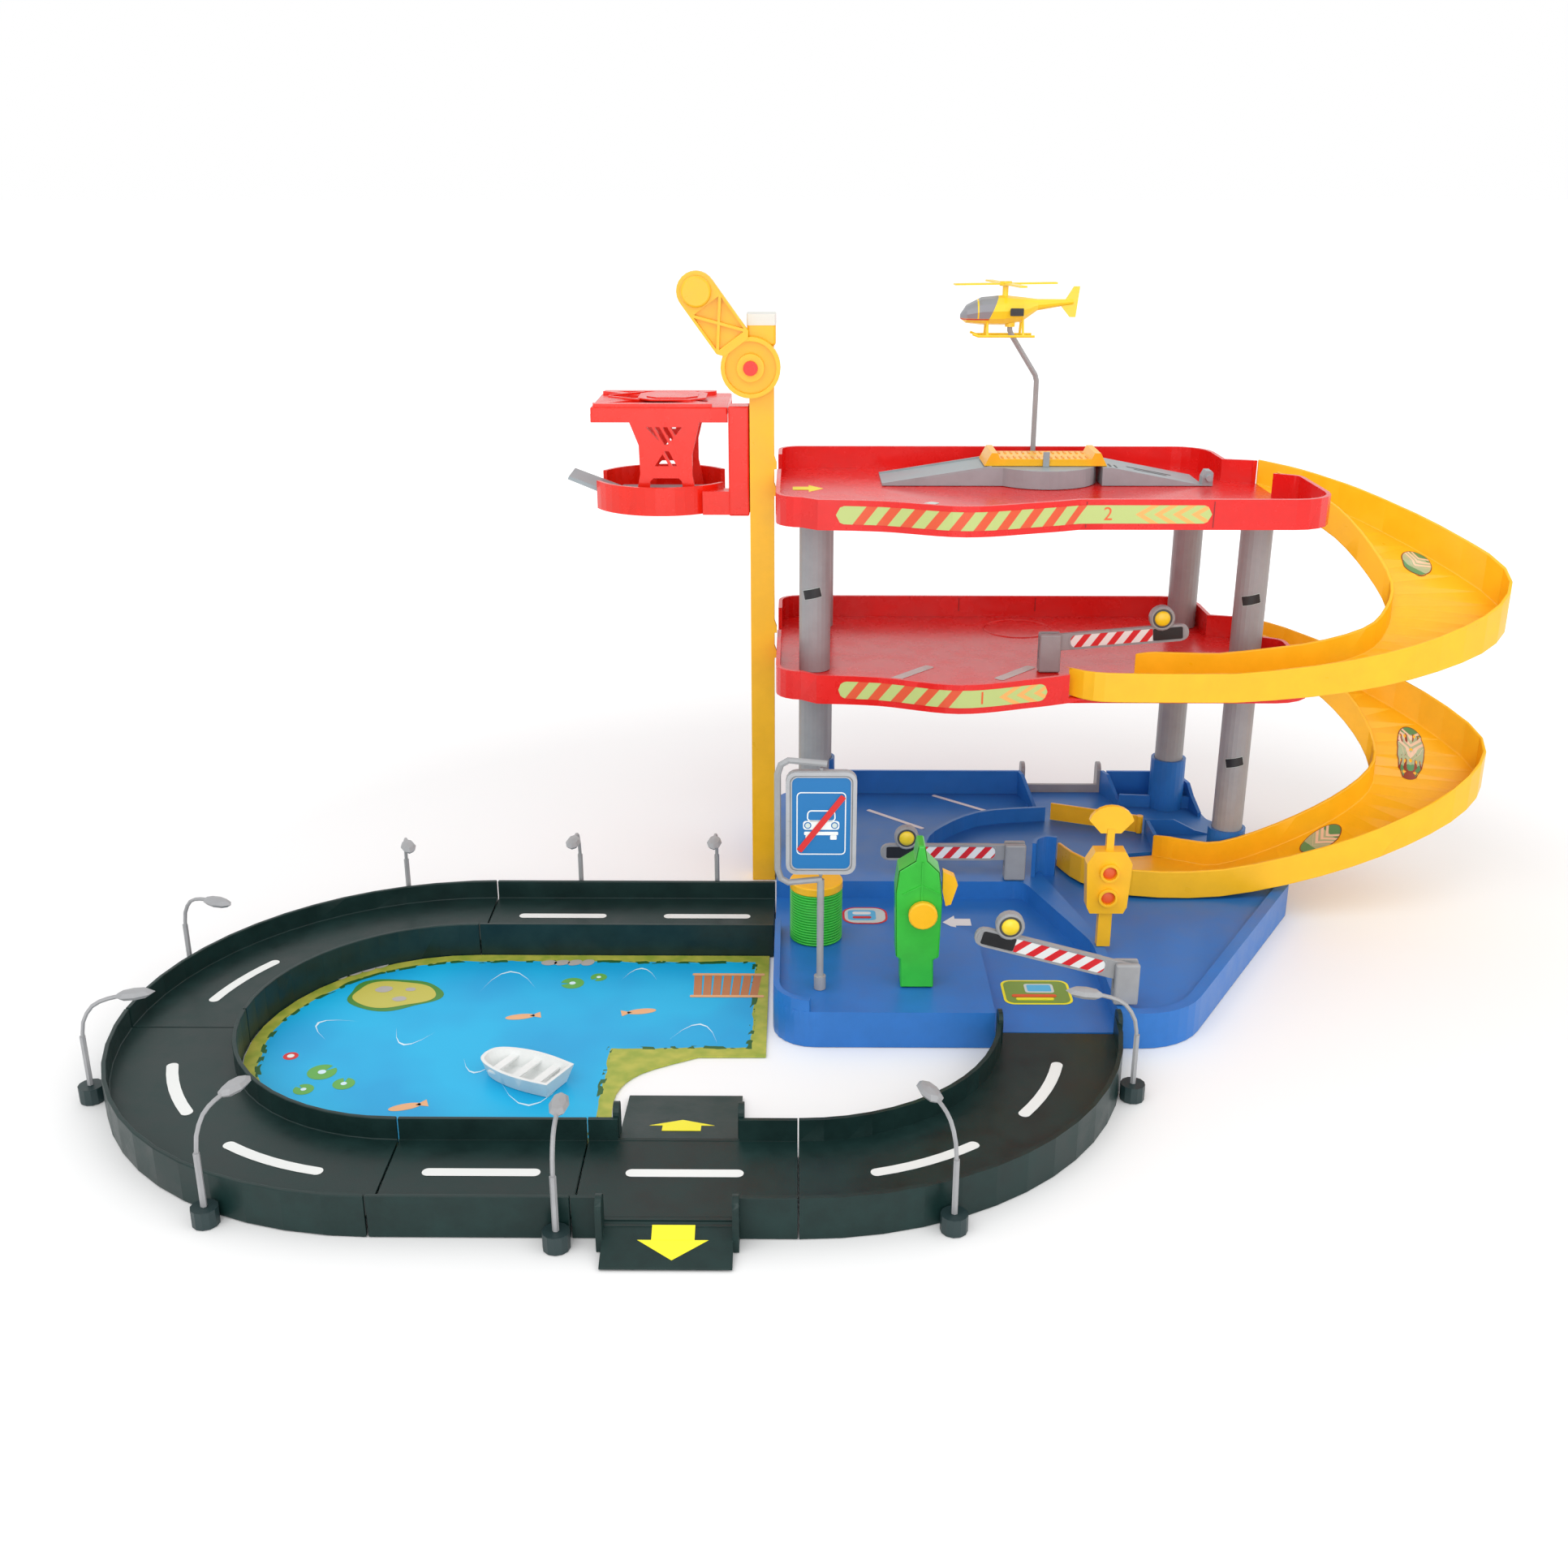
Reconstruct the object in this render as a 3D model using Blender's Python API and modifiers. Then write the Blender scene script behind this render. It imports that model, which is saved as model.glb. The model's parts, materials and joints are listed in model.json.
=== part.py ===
"""Toy garage: a blue base with two red decks on grey columns, a cranked lift, two yellow ramps
and a dark track loop with street lamps. Metres, +Z up.

The layout is drawn from the front lane's centre line (Y = 0). X grows to the right, Y away from
the front. At the end the whole model is moved so that its origin is under the base's middle.
"""
from math import atan2, cos, degrees, hypot, pi, radians, sin

import bmesh
import bpy
from mathutils import Matrix, Vector

# The finished part's origin, in the layout's own coordinates
ORIGIN_X = 0.155
ORIGIN_Y = 0.316

# Fits
GAP = 0.0003
RUNNING_GAP = 0.0005
PIVOT_GAP = 0.0004

# Track: walls, road and the loop's plan
LANE_HALF = 0.034
LANE_WALL = 0.0024
LANE_WALL_TOP = 0.022
ROAD_TOP = 0.010
ROAD_THICK = 0.002
CURVE_RADIUS = 0.1443
LEFT_JOINT_X = -0.1973
RIGHT_JOINT_X = 0.0014
FRONT_SPLIT_X = -0.103
BACK_JOINT_X = -0.0135
JOINT_GAP = 0.0006
ENTRY_GAP = 0.0005
CURVE_STEPS = 14

# Junction
JUNCTION_GATE_HALF = 0.030
JUNCTION_X = -0.058
FLAP_LENGTH_FRONT = 0.0235
FLAP_LENGTH_BACK = 0.054
FLAP_PLATE = 0.0022
EAR_HEIGHT = 0.027
EAR_THICK = 0.0026
ENTRY_EAR_LENGTH = 0.012

# Base plate
BASE_LEFT = -0.013
BASE_FRONT = 0.1425
BASE_BACK = 0.489
BASE_TOP = 0.022
BASE_SKIN = 0.0025
BASE_RECESS = 0.018
CHANNEL_FRONT = 0.2546
CHANNEL_BACK = 0.3226
ENTRY_LEFT = RIGHT_JOINT_X + CURVE_RADIUS - LANE_HALF - 0.0005
ENTRY_RIGHT = RIGHT_JOINT_X + CURVE_RADIUS + LANE_HALF + 0.0005
RECESS_LEFT = ENTRY_RIGHT + 0.0058
BACK_WALL_TOP = 0.040
RIM_TOP = 0.029
ARC_WALL_TOP = 0.0326
GUIDE_WALL_TOP = 0.0330
TALL_WALL_TOP = 0.046
TRAY_RIM_TOP = 0.031
STAGGER = 0.0003
FIN_BACK_X = (0.1665, 0.2295)
FIN_FRONT = ((0.1750, 0.4500), (0.2385, 0.4600))
GATE_HINGE = (0.2425, 0.4085)
GATE_END = (0.1835, 0.4330)
GATE_THICK = 0.0016
GATE_HEIGHT = 0.0125
GATE_BARREL_RADIUS = 0.0024
GATE_PIN_RADIUS = 0.0015

# Storeys
DECK_1_BOTTOM = 0.156
DECK_2_BOTTOM = 0.263
DECK_FLOOR = 0.003
DECK_WALL_HEIGHT = 0.018
DECK_WALL = 0.0026
DECK_FRONT = 0.2900
DECK_RIGHT = 0.3190
DECK_STEP = 0.3720
COLUMN_RADIUS = 0.010
COLUMN_WALL = 0.0016
EXIT_X = 0.3055
EXIT_FRONT = 0.3800
EXIT_BACK = 0.4280
COLUMN_SIDES = 22
SOCKET_RADIUS = 0.0125
SOCKET_TOP_FRONT = 0.044
SOCKET_TOP_BACK = 0.060
COLUMN_SEAT = 0.030
COLLAR_DEPTH = 0.007
SEAT_SINK = 0.0002
COLUMN_SPOTS = {
    "front_left": (0.0115, 0.353),
    "front_right": (0.2925, 0.3665),
    "back_left": (0.0155, 0.462),
    "back_right": (0.2720, 0.462),
}

# Lift
MAST_X = -0.0224
MAST_Y = 0.381
MAST_WIDTH = 0.0154
MAST_DEPTH = 0.014
MAST_WALL = 0.0022
MAST_TOP = 0.379
MAST_HEAD_LIP = 0.0012
RUNNER_THICK = 0.0022
CRANK_X = -0.029
CRANK_Z = 0.3475
CRANK_DISC_RADIUS = 0.0185
CRANK_ARM_X = -0.0328
CRANK_ARM_Z = 0.0452
CRANK_ARM_HALF = 0.0120
CRANK_ARM_RIM = 0.0016
CRANK_RIB_HALF = 0.0009
CRANK_KNOB_RADIUS = 0.0093
AXLE_RADIUS = 0.003
LIFT_X = -0.088
LIFT_STEP_BACK = 0.037
LIFT_Y = MAST_Y + LIFT_STEP_BACK
LIFT_GATE_FRONT = LIFT_Y - 0.025
LIFT_GATE_BACK = LIFT_Y + 0.034
LIFT_RADIUS = 0.047
LIFT_FLOOR_Z = 0.2622
LIFT_FLOOR_THICK = 0.0022
LIFT_FLOOR_LEFT = 0.030
LIFT_FLOOR_RIGHT = 0.036
LIFT_FLOOR_HALF = 0.024
LIFT_BAR_RADIUS = 0.0018
LIFT_TRAY_BOTTOM = 0.2545
LIFT_TRAY_FLOOR = 0.003
LIFT_TRAY_TOP = 0.2725
LIFT_ROOF_BOTTOM = 0.3120
LIFT_ROOF_TOP = 0.3235
LIFT_SIDE_HALF = 0.0014

# Ramps
RAMP_WALL = 0.0022
RAMP_FLOOR = 0.0024

# Barriers
POST_WIDTH = 0.0138
POST_DEPTH = 0.010
POST_HEIGHT = 0.0255
ARM_THICK = 0.003
ARM_HEIGHT = 0.011
ARM_REACH = 0.0955
ARM_DISC_RADIUS = 0.008
ARM_DISC_FROM_TIP = 0.017
ARM_PIVOT_DROP = 0.0065
ARM_PIN_RADIUS = 0.0016
LEVEL_1_BARRIER = (0.1620, 0.3480)
BASE_REAR_BARRIER = (0.1440, 0.3280)
BASE_FRONT_BARRIER = (ENTRY_RIGHT + 0.0048, 0.1560)

# What stands on the base
TRAFFIC_LIGHT_X = ENTRY_RIGHT + 0.0053
TRAFFIC_LIGHT_Y = 0.2290
TRAFFIC_LIGHT_LIFT = 0.003
FAN_FOOT = 0.0705
FAN_HALF_WIDTH = 0.0133
FAN_HALF_HEIGHT = 0.0110
PUMP_X = 0.0698
PUMP_Y = 0.1800
SIGN_X = 0.0137
SIGN_Y = 0.1712
SIGN_LOW = 0.068
SIGN_HIGH = 0.1365
ROLLER_SPOT = (0.0122, 0.2395)
ROLLER_RADIUS = 0.0160
ROLLER_HEIGHT = 0.036

# Printed mat and boat
MAT_RIGHT = -0.0165
BOAT_SPOT = (-0.1470, 0.1040)
BOAT_TURN = -28
BOAT_LENGTH = 0.050
BOAT_RIM = 0.0115

# Turntable on the top deck
TURNTABLE_X = 0.1640
TURNTABLE_Y = 0.4370

# Lamps
LAMP_FOOT_RADIUS = 0.0065
LAMP_FOOT_HEIGHT = 0.009
LAMP_POLE_RADIUS = 0.0016
LAMP_POLE_TOP = 0.038
LAMP_ARM_RADIUS = 0.0011
LAMP_REACH = 0.028
LAMP_HEIGHT = 0.058

COLOURS = {
    "track": ((0.030, 0.050, 0.050), 0.35),
    "blue": ((0.035, 0.160, 0.600), 0.35),
    "red": ((0.780, 0.020, 0.020), 0.30),
    "yellow": ((0.950, 0.560, 0.020), 0.40),
    "grey": ((0.360, 0.370, 0.380), 0.45),
    "light_grey": ((0.550, 0.570, 0.580), 0.40),
    "green": ((0.060, 0.500, 0.060), 0.40),
    "print": ((0.100, 0.450, 0.800), 0.60),
    "white": ((0.850, 0.850, 0.820), 0.40),
}

for old in list(bpy.data.objects):
    bpy.data.objects.remove(old)

garage = bpy.data.collections.new("toy_garage")
bpy.context.scene.collection.children.link(garage)
MATERIALS = {}


def material(colour):
    """One Principled material for each colour of plastic."""
    if colour not in MATERIALS:
        rgb, roughness = COLOURS[colour]
        made = bpy.data.materials.new(colour)
        made.use_nodes = True
        shader = made.node_tree.nodes["Principled BSDF"]
        shader.inputs["Base Color"].default_value = (*rgb, 1.0)
        shader.inputs["Roughness"].default_value = roughness
        shader.inputs["Metallic"].default_value = 0.0
        MATERIALS[colour] = made
    return MATERIALS[colour]


def linked(name, data):
    """An object for the given data, in the garage's collection."""
    obj = bpy.data.objects.new(name, data)
    garage.objects.link(obj)
    return obj


def baked(obj, weld=0.00002):
    """Replace an object by its evaluated mesh in layout coordinates, welded and facing outward."""
    bpy.context.view_layer.update()
    evaluated = obj.evaluated_get(bpy.context.evaluated_depsgraph_get())
    mesh = bpy.data.meshes.new_from_object(evaluated)
    mesh.transform(obj.matrix_world)
    name = obj.name
    bpy.data.objects.remove(obj)
    work = bmesh.new()
    work.from_mesh(mesh)
    bmesh.ops.remove_doubles(work, verts=work.verts, dist=weld)
    bmesh.ops.recalc_face_normals(work, faces=work.faces)
    work.to_mesh(mesh)
    work.free()
    return linked(name, mesh)


def prism(name, outline, bottom, top, holes=()):
    """A flat outline raised from bottom to top."""
    curve = bpy.data.curves.new(name, "CURVE")
    curve.dimensions = "2D"
    curve.fill_mode = "BOTH"
    curve.extrude = (top - bottom) / 2
    for ring in (outline, *holes):
        spline = curve.splines.new("POLY")
        spline.points.add(len(ring) - 1)
        for point, (x, y) in zip(spline.points, ring):
            point.co = (x, y, 0, 1)
        spline.use_cyclic_u = True
    obj = linked(name, curve)
    obj.location.z = (bottom + top) / 2
    return baked(obj)


def upright(name, outline, y_front, y_back):
    """A flat outline drawn in X and Z, with its thickness along Y."""
    obj = prism(name, outline, -y_back, -y_front)
    obj.data.transform(Matrix.Rotation(pi / 2, 4, "X"))
    return obj


def sideways(name, outline, x_left, x_right):
    """A flat outline drawn in Y and Z, with its thickness along X."""
    obj = prism(name, outline, x_left, x_right)
    obj.data.transform(Matrix(((0, 0, 1, 0), (1, 0, 0, 0), (0, 1, 0, 0), (0, 0, 0, 1))))
    return obj


def box(name, x, y, z, bevel=0.0):
    """A box from its (low, high) pairs."""
    work = bmesh.new()
    bmesh.ops.create_cube(work, size=1.0)
    size = (x[1] - x[0], y[1] - y[0], z[1] - z[0])
    middle = ((x[0] + x[1]) / 2, (y[0] + y[1]) / 2, (z[0] + z[1]) / 2)
    bmesh.ops.transform(work, matrix=Matrix.Translation(middle) @ Matrix.Diagonal((*size, 1)),
                        verts=work.verts)
    mesh = bpy.data.meshes.new(name)
    work.to_mesh(mesh)
    work.free()
    obj = linked(name, mesh)
    if bevel:
        obj = rounded_edges(obj, bevel)
    return obj


def rounded_edges(obj, width, segments=2, angle=50):
    """Round the sharp edges of an object."""
    modifier = obj.modifiers.new("round", "BEVEL")
    modifier.width = width
    modifier.segments = segments
    modifier.limit_method = "ANGLE"
    modifier.angle_limit = radians(angle)
    return baked(obj)


def rod(name, radius, start, end, segments=24, end_radius=None):
    """A round bar or cone between two points."""
    start = Vector(start)
    end = Vector(end)
    along = end - start
    work = bmesh.new()
    bmesh.ops.create_cone(
        work, cap_ends=True, segments=segments, radius1=radius,
        radius2=radius if end_radius is None else end_radius, depth=along.length,
    )
    turn = along.to_track_quat("Z", "Y").to_matrix().to_4x4()
    bmesh.ops.transform(work, matrix=Matrix.Translation((start + end) / 2) @ turn, verts=work.verts)
    mesh = bpy.data.meshes.new(name)
    work.to_mesh(mesh)
    work.free()
    return linked(name, mesh)


def ball(name, centre, radii, segments=16):
    """An ellipsoid."""
    work = bmesh.new()
    bmesh.ops.create_uvsphere(work, u_segments=segments, v_segments=segments // 2, radius=1.0)
    matrix = Matrix.Translation(centre) @ Matrix.Diagonal((*radii, 1))
    bmesh.ops.transform(work, matrix=matrix, verts=work.verts)
    mesh = bpy.data.meshes.new(name)
    work.to_mesh(mesh)
    work.free()
    return linked(name, mesh)


def turned(name, profile, centre, steps=32):
    """A profile of (radius, z) points, listed down the outer side, turned about the vertical."""
    mesh = bpy.data.meshes.new(name)
    points = [(radius, 0, z) for radius, z in profile]
    count = len(points)
    on_axis = profile[0][0] == 0 and profile[-1][0] == 0
    last = count - 1 if on_axis else count
    mesh.from_pydata(points, [(index, (index + 1) % count) for index in range(last)], [])
    obj = linked(name, mesh)
    screw = obj.modifiers.new("turn", "SCREW")
    screw.steps = steps
    screw.render_steps = steps
    screw.use_merge_vertices = True
    screw.merge_threshold = 0.00005
    obj.location = (centre[0], centre[1], 0)
    return baked(obj)


def tube(name, points, radius, sides=2, radii=None):
    """A round wire along the points, with filled ends."""
    curve = bpy.data.curves.new(name, "CURVE")
    curve.dimensions = "3D"
    curve.bevel_depth = radius
    curve.bevel_resolution = sides
    curve.use_fill_caps = True
    spline = curve.splines.new("POLY")
    spline.points.add(len(points) - 1)
    for index, point in enumerate(points):
        spline.points[index].co = (*point, 1)
        if radii:
            spline.points[index].radius = radii[index]
    return baked(linked(name, curve))


def spun(name, section, centre, radius, start, end, steps):
    """A closed section of (across, up) points carried round a centre, angles in degrees."""
    work = bmesh.new()
    first = Matrix.Rotation(radians(start), 4, "Z")
    ring = [work.verts.new(first @ Vector((radius + across, 0, up))) for across, up in section]
    face = work.faces.new(ring)
    bmesh.ops.spin(work, geom=[face], cent=(0, 0, 0), axis=(0, 0, 1), angle=radians(end - start), steps=steps)
    bmesh.ops.translate(work, verts=work.verts, vec=(*centre, 0))
    bmesh.ops.recalc_face_normals(work, faces=work.faces)
    mesh = bpy.data.meshes.new(name)
    work.to_mesh(mesh)
    work.free()
    return linked(name, mesh)


def loft(name, rings):
    """A skin through rings of equally many points, closed at both ends."""
    work = bmesh.new()
    loops = [[work.verts.new(point) for point in ring] for ring in rings]
    count = len(rings[0])
    for near, far in zip(loops, loops[1:]):
        for index in range(count):
            after = (index + 1) % count
            work.faces.new((near[index], near[after], far[after], far[index]))
    work.faces.new(loops[0])
    work.faces.new(loops[-1])
    bmesh.ops.recalc_face_normals(work, faces=work.faces)
    mesh = bpy.data.meshes.new(name)
    work.to_mesh(mesh)
    work.free()
    return linked(name, mesh)


def combined(target, others, operation):
    """Join or cut the target with each of the others, which are then removed."""
    for other in others:
        modifier = target.modifiers.new("solid", "BOOLEAN")
        modifier.operation = operation
        modifier.solver = "EXACT"
        modifier.object = other
        target = baked(target, weld=0.000005)
        bpy.data.objects.remove(other)
    return target


def joined(target, *others):
    """Boolean union."""
    return combined(target, others, "UNION")


def cut(target, *others):
    """Boolean difference."""
    return combined(target, others, "DIFFERENCE")


def finished(obj, name, colour, pivot=None, smooth=35):
    """Name, colour and shade a part, and put its origin on its pivot if it moves."""
    obj.name = name
    obj.data.name = name
    obj.data.materials.clear()
    obj.data.materials.append(material(colour))
    obj.data.shade_smooth()
    obj.data.set_sharp_from_angle(angle=radians(smooth))
    if pivot is not None:
        obj.data.transform(Matrix.Translation(-Vector(pivot)))
        obj.location = pivot
    return obj


def arc(centre, radius, start, end, steps):
    """Points on an arc, angles in degrees."""
    turns = [start + (end - start) * step / steps for step in range(steps + 1)]
    return [(centre[0] + radius * cos(radians(turn)),
             centre[1] + radius * sin(radians(turn))) for turn in turns]


def rounded(corners, steps=5):
    """A closed outline from (x, y, radius) corners, each corner rounded by an arc."""
    outline = []
    count = len(corners)
    for index, (x, y, radius) in enumerate(corners):
        if radius <= 0:
            outline.append((x, y))
            continue
        here = Vector((x, y))
        before = (Vector(corners[index - 1][:2]) - here).normalized()
        after = (Vector(corners[(index + 1) % count][:2]) - here).normalized()
        half = before.angle(after) / 2
        reach = radius / max(0.05, abs(sin(half) / cos(half)))
        start = here + before * reach
        end = here + after * reach
        centre = here + (before + after).normalized() * hypot(reach, radius)
        first = atan2(start.y - centre.y, start.x - centre.x)
        turn = atan2(end.y - centre.y, end.x - centre.x) - first
        turn = (turn + pi) % (2 * pi) - pi
        for step in range(steps + 1):
            angle = first + turn * step / steps
            outline.append((centre.x + radius * cos(angle), centre.y + radius * sin(angle)))
    return outline


def offset(outline, distance):
    """Move a counter-clockwise outline outward by a distance, or inward if it is negative."""
    moved = []
    count = len(outline)
    for index in range(count):
        here = Vector(outline[index])
        before = (here - Vector(outline[index - 1])).normalized()
        after = (Vector(outline[(index + 1) % count]) - here).normalized()
        side_before = Vector((before.y, -before.x))
        side_after = Vector((after.y, -after.x))
        bisector = side_before + side_after
        moved.append(tuple(here + bisector * (distance * 2 / max(0.5, bisector.length_squared))))
    return moved


def smooth_path(points, steps):
    """A smooth curve through points of any dimension, steps for each stretch."""
    padded = [points[0], *points, points[-1]]
    path = []
    for a, b, c, d in zip(padded, padded[1:], padded[2:], padded[3:]):
        for step in range(steps):
            t = step / steps
            path.append(tuple(
                0.5 * (2 * q + (r - p) * t + (2 * p - 5 * q + 4 * r - s) * t * t
                       + (3 * q - p - 3 * r + s) * t ** 3)
                for p, q, r, s in zip(a, b, c, d)
            ))
    path.append(tuple(points[-1]))
    return path


def band(path, half):
    """The outline of a strip of even width along a path."""
    sides = []
    for index, (x, y) in enumerate(path):
        before = Vector(path[max(index - 1, 0)])
        after = Vector(path[min(index + 1, len(path) - 1)])
        along = (after - before).normalized()
        sides.append((Vector((x, y)), Vector((along.y, -along.x))))
    right = [tuple(point + side * half) for point, side in sides]
    left = [tuple(point - side * half) for point, side in sides]
    return right + left[::-1]


# Track

LANE_SECTION = [
    (-LANE_HALF, 0), (-LANE_HALF + LANE_WALL, 0), (-LANE_HALF + LANE_WALL, ROAD_TOP - ROAD_THICK),
    (LANE_HALF - LANE_WALL, ROAD_TOP - ROAD_THICK), (LANE_HALF - LANE_WALL, 0), (LANE_HALF, 0),
    (LANE_HALF, LANE_WALL_TOP), (LANE_HALF - LANE_WALL, LANE_WALL_TOP), (LANE_HALF - LANE_WALL, ROAD_TOP),
    (-LANE_HALF + LANE_WALL, ROAD_TOP), (-LANE_HALF + LANE_WALL, LANE_WALL_TOP), (-LANE_HALF, LANE_WALL_TOP),
]


def track_pieces():
    """The loop: two straights, three quarter curves and the junction."""
    half = JOINT_GAP / 2
    back_y = 2 * CURVE_RADIUS
    slack = degrees(half / (CURVE_RADIUS - LANE_HALF))
    entry_slack = degrees((CURVE_RADIUS - BASE_FRONT + ENTRY_GAP) / (CURVE_RADIUS - LANE_HALF))
    left = (LEFT_JOINT_X, CURVE_RADIUS)
    right = (RIGHT_JOINT_X, CURVE_RADIUS)
    straights = {
        "track_back_straight": (LEFT_JOINT_X + half, BACK_JOINT_X - GAP, back_y),
        "track_front_straight": (LEFT_JOINT_X + half, FRONT_SPLIT_X - half, 0),
        "track_junction": (FRONT_SPLIT_X + half, RIGHT_JOINT_X - half, 0),
    }
    curves = {
        "track_curve_rear_left": (left, 90 + slack, 180 - slack),
        "track_curve_front_left": (left, 180 + slack, 270 - slack),
        "track_curve_front_right": (right, 270 + slack, 360 - entry_slack),
    }
    for name, (start, end, middle) in straights.items():
        section = [(middle + across, up) for across, up in LANE_SECTION]
        piece = sideways(name, section, start, end)
        if name == "track_junction":
            gate = (JUNCTION_X - JUNCTION_GATE_HALF, JUNCTION_X + JUNCTION_GATE_HALF)
            above = (ROAD_TOP + 0.0002, LANE_WALL_TOP + 0.01)
            reach = LANE_HALF + 0.01
            inner = LANE_HALF - LANE_WALL - 0.004
            piece = cut(
                piece,
                box("front_gate", gate, (-reach, -inner), above),
                box("back_gate", gate, (inner, reach), above),
            )
        finished(piece, name, "track")
    for name, (centre, start, end) in curves.items():
        piece = spun(name, LANE_SECTION, centre, CURVE_RADIUS, start, end, CURVE_STEPS)
        if name == "track_curve_front_right":
            near = BASE_FRONT - ENTRY_GAP
            far = near - ENTRY_EAR_LENGTH
            low = ROAD_TOP - ROAD_THICK
            ear = rounded([(near, low, 0), (near, EAR_HEIGHT, 0.0045), (far, EAR_HEIGHT, 0.0045),
                           (far, low, 0)], 4)
            middle = RIGHT_JOINT_X + CURVE_RADIUS
            piece = joined(
                piece,
                sideways("left_ear", ear, middle - LANE_HALF, middle - LANE_HALF + LANE_WALL),
                sideways("right_ear", ear, middle + LANE_HALF - LANE_WALL, middle + LANE_HALF),
            )
        finished(piece, name, "track")


def junction_ramps():
    """Two flaps that lead from the junction's road down to the ground, with rounded ears."""
    low = 0.0006
    top = ROAD_TOP - GAP
    flaps = (("junction_ramp_front", -1, FLAP_LENGTH_FRONT), ("junction_ramp_back", 1, FLAP_LENGTH_BACK))
    for name, sign, length in flaps:
        near = LANE_HALF + GAP
        far = near + length
        plate = sideways(
            name,
            [(near, top - FLAP_PLATE), (near, top), (far, low + 0.0008), (far, low), (far - 0.003, low)],
            JUNCTION_X - JUNCTION_GATE_HALF, JUNCTION_X + JUNCTION_GATE_HALF,
        )
        ears = []
        for side in (-1, 1):
            inner = JUNCTION_X + side * JUNCTION_GATE_HALF
            outer = inner + side * EAR_THICK
            ear = rounded(
                [
                    (near, 0, 0), (near + 0.010, 0, 0.0), (near + 0.010, EAR_HEIGHT, 0.0045),
                    (near, EAR_HEIGHT, 0.0045),
                ],
                4,
            )
            ears.append(sideways("ear", ear, min(inner - side * 0.0005, outer),
                                 max(inner - side * 0.0005, outer)))
        rail = box("rail", (JUNCTION_X - JUNCTION_GATE_HALF, JUNCTION_X + JUNCTION_GATE_HALF),
                   (near, near + 0.003), (0, top - 0.0005))
        flap = joined(plate, rail, *ears)
        if sign < 0:
            flap.data.transform(Matrix.Diagonal((1, -1, 1, 1)))
            flap = baked(flap)
        finished(flap, name, "track")


# Base

def channel_outline(grow=0.0):
    """The lane moulded in the base, from the left edge round to the front edge."""
    corners = [
        (BASE_LEFT - 0.02, CHANNEL_FRONT, 0), (ENTRY_LEFT, CHANNEL_FRONT, 0.020),
        (ENTRY_LEFT, BASE_FRONT - 0.02, 0), (ENTRY_RIGHT, BASE_FRONT - 0.02, 0),
        (ENTRY_RIGHT, 0.232, 0.060), (0.150, CHANNEL_BACK, 0.010), (BASE_LEFT - 0.02, CHANNEL_BACK, 0),
    ]
    return offset(rounded(corners, 6), grow) if grow else rounded(corners, 6)


def base_outline():
    """The base's plan, counter-clockwise from the front-left corner."""
    return rounded(
        [
            (BASE_LEFT, BASE_FRONT, 0.024), (0.218, BASE_FRONT, 0.042), (0.3255, 0.322, 0.016),
            (0.3155, 0.4110, 0.012), (0.2965, 0.4350, 0.010), (0.290, BASE_BACK, 0.011),
            (BASE_LEFT, BASE_BACK, 0.013),
        ],
        6,
    )


def recess_outline():
    """The lower floor on the right, inside its raised rim."""
    return rounded([
        (0.188, BASE_FRONT + 0.006, 0.004), (0.214, BASE_FRONT + 0.006, 0.036), (0.3165, 0.321, 0.010),
        (0.3060, 0.3800, 0.006), (0.2500, 0.3750, 0.002), (0.1700, 0.3592, 0.002),
        (0.163, 0.338, 0.010), (RECESS_LEFT, 0.240, 0.030),
    ], 5)


def wall(name, path, half, bottom, top):
    """A low wall of even thickness along a path."""
    return prism(name, band(path, half), bottom, top)


ARC_WALL = [(0.0865, 0.3560), (0.0947, 0.3845), (0.1290, 0.4209), (0.1790, 0.4316)]
TALL_WALL = [(0.1570, 0.3305), (0.1595, 0.3385), (0.1665, 0.3437), (0.1735, 0.3420)]
GUIDE_SIDE = [(0.2475, 0.4070), (0.2475, 0.3740)]
GUIDE_END = 0.2915
TRAY_SIDE = ((0.2845, 0.4800), (0.2925, 0.4400))


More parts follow.
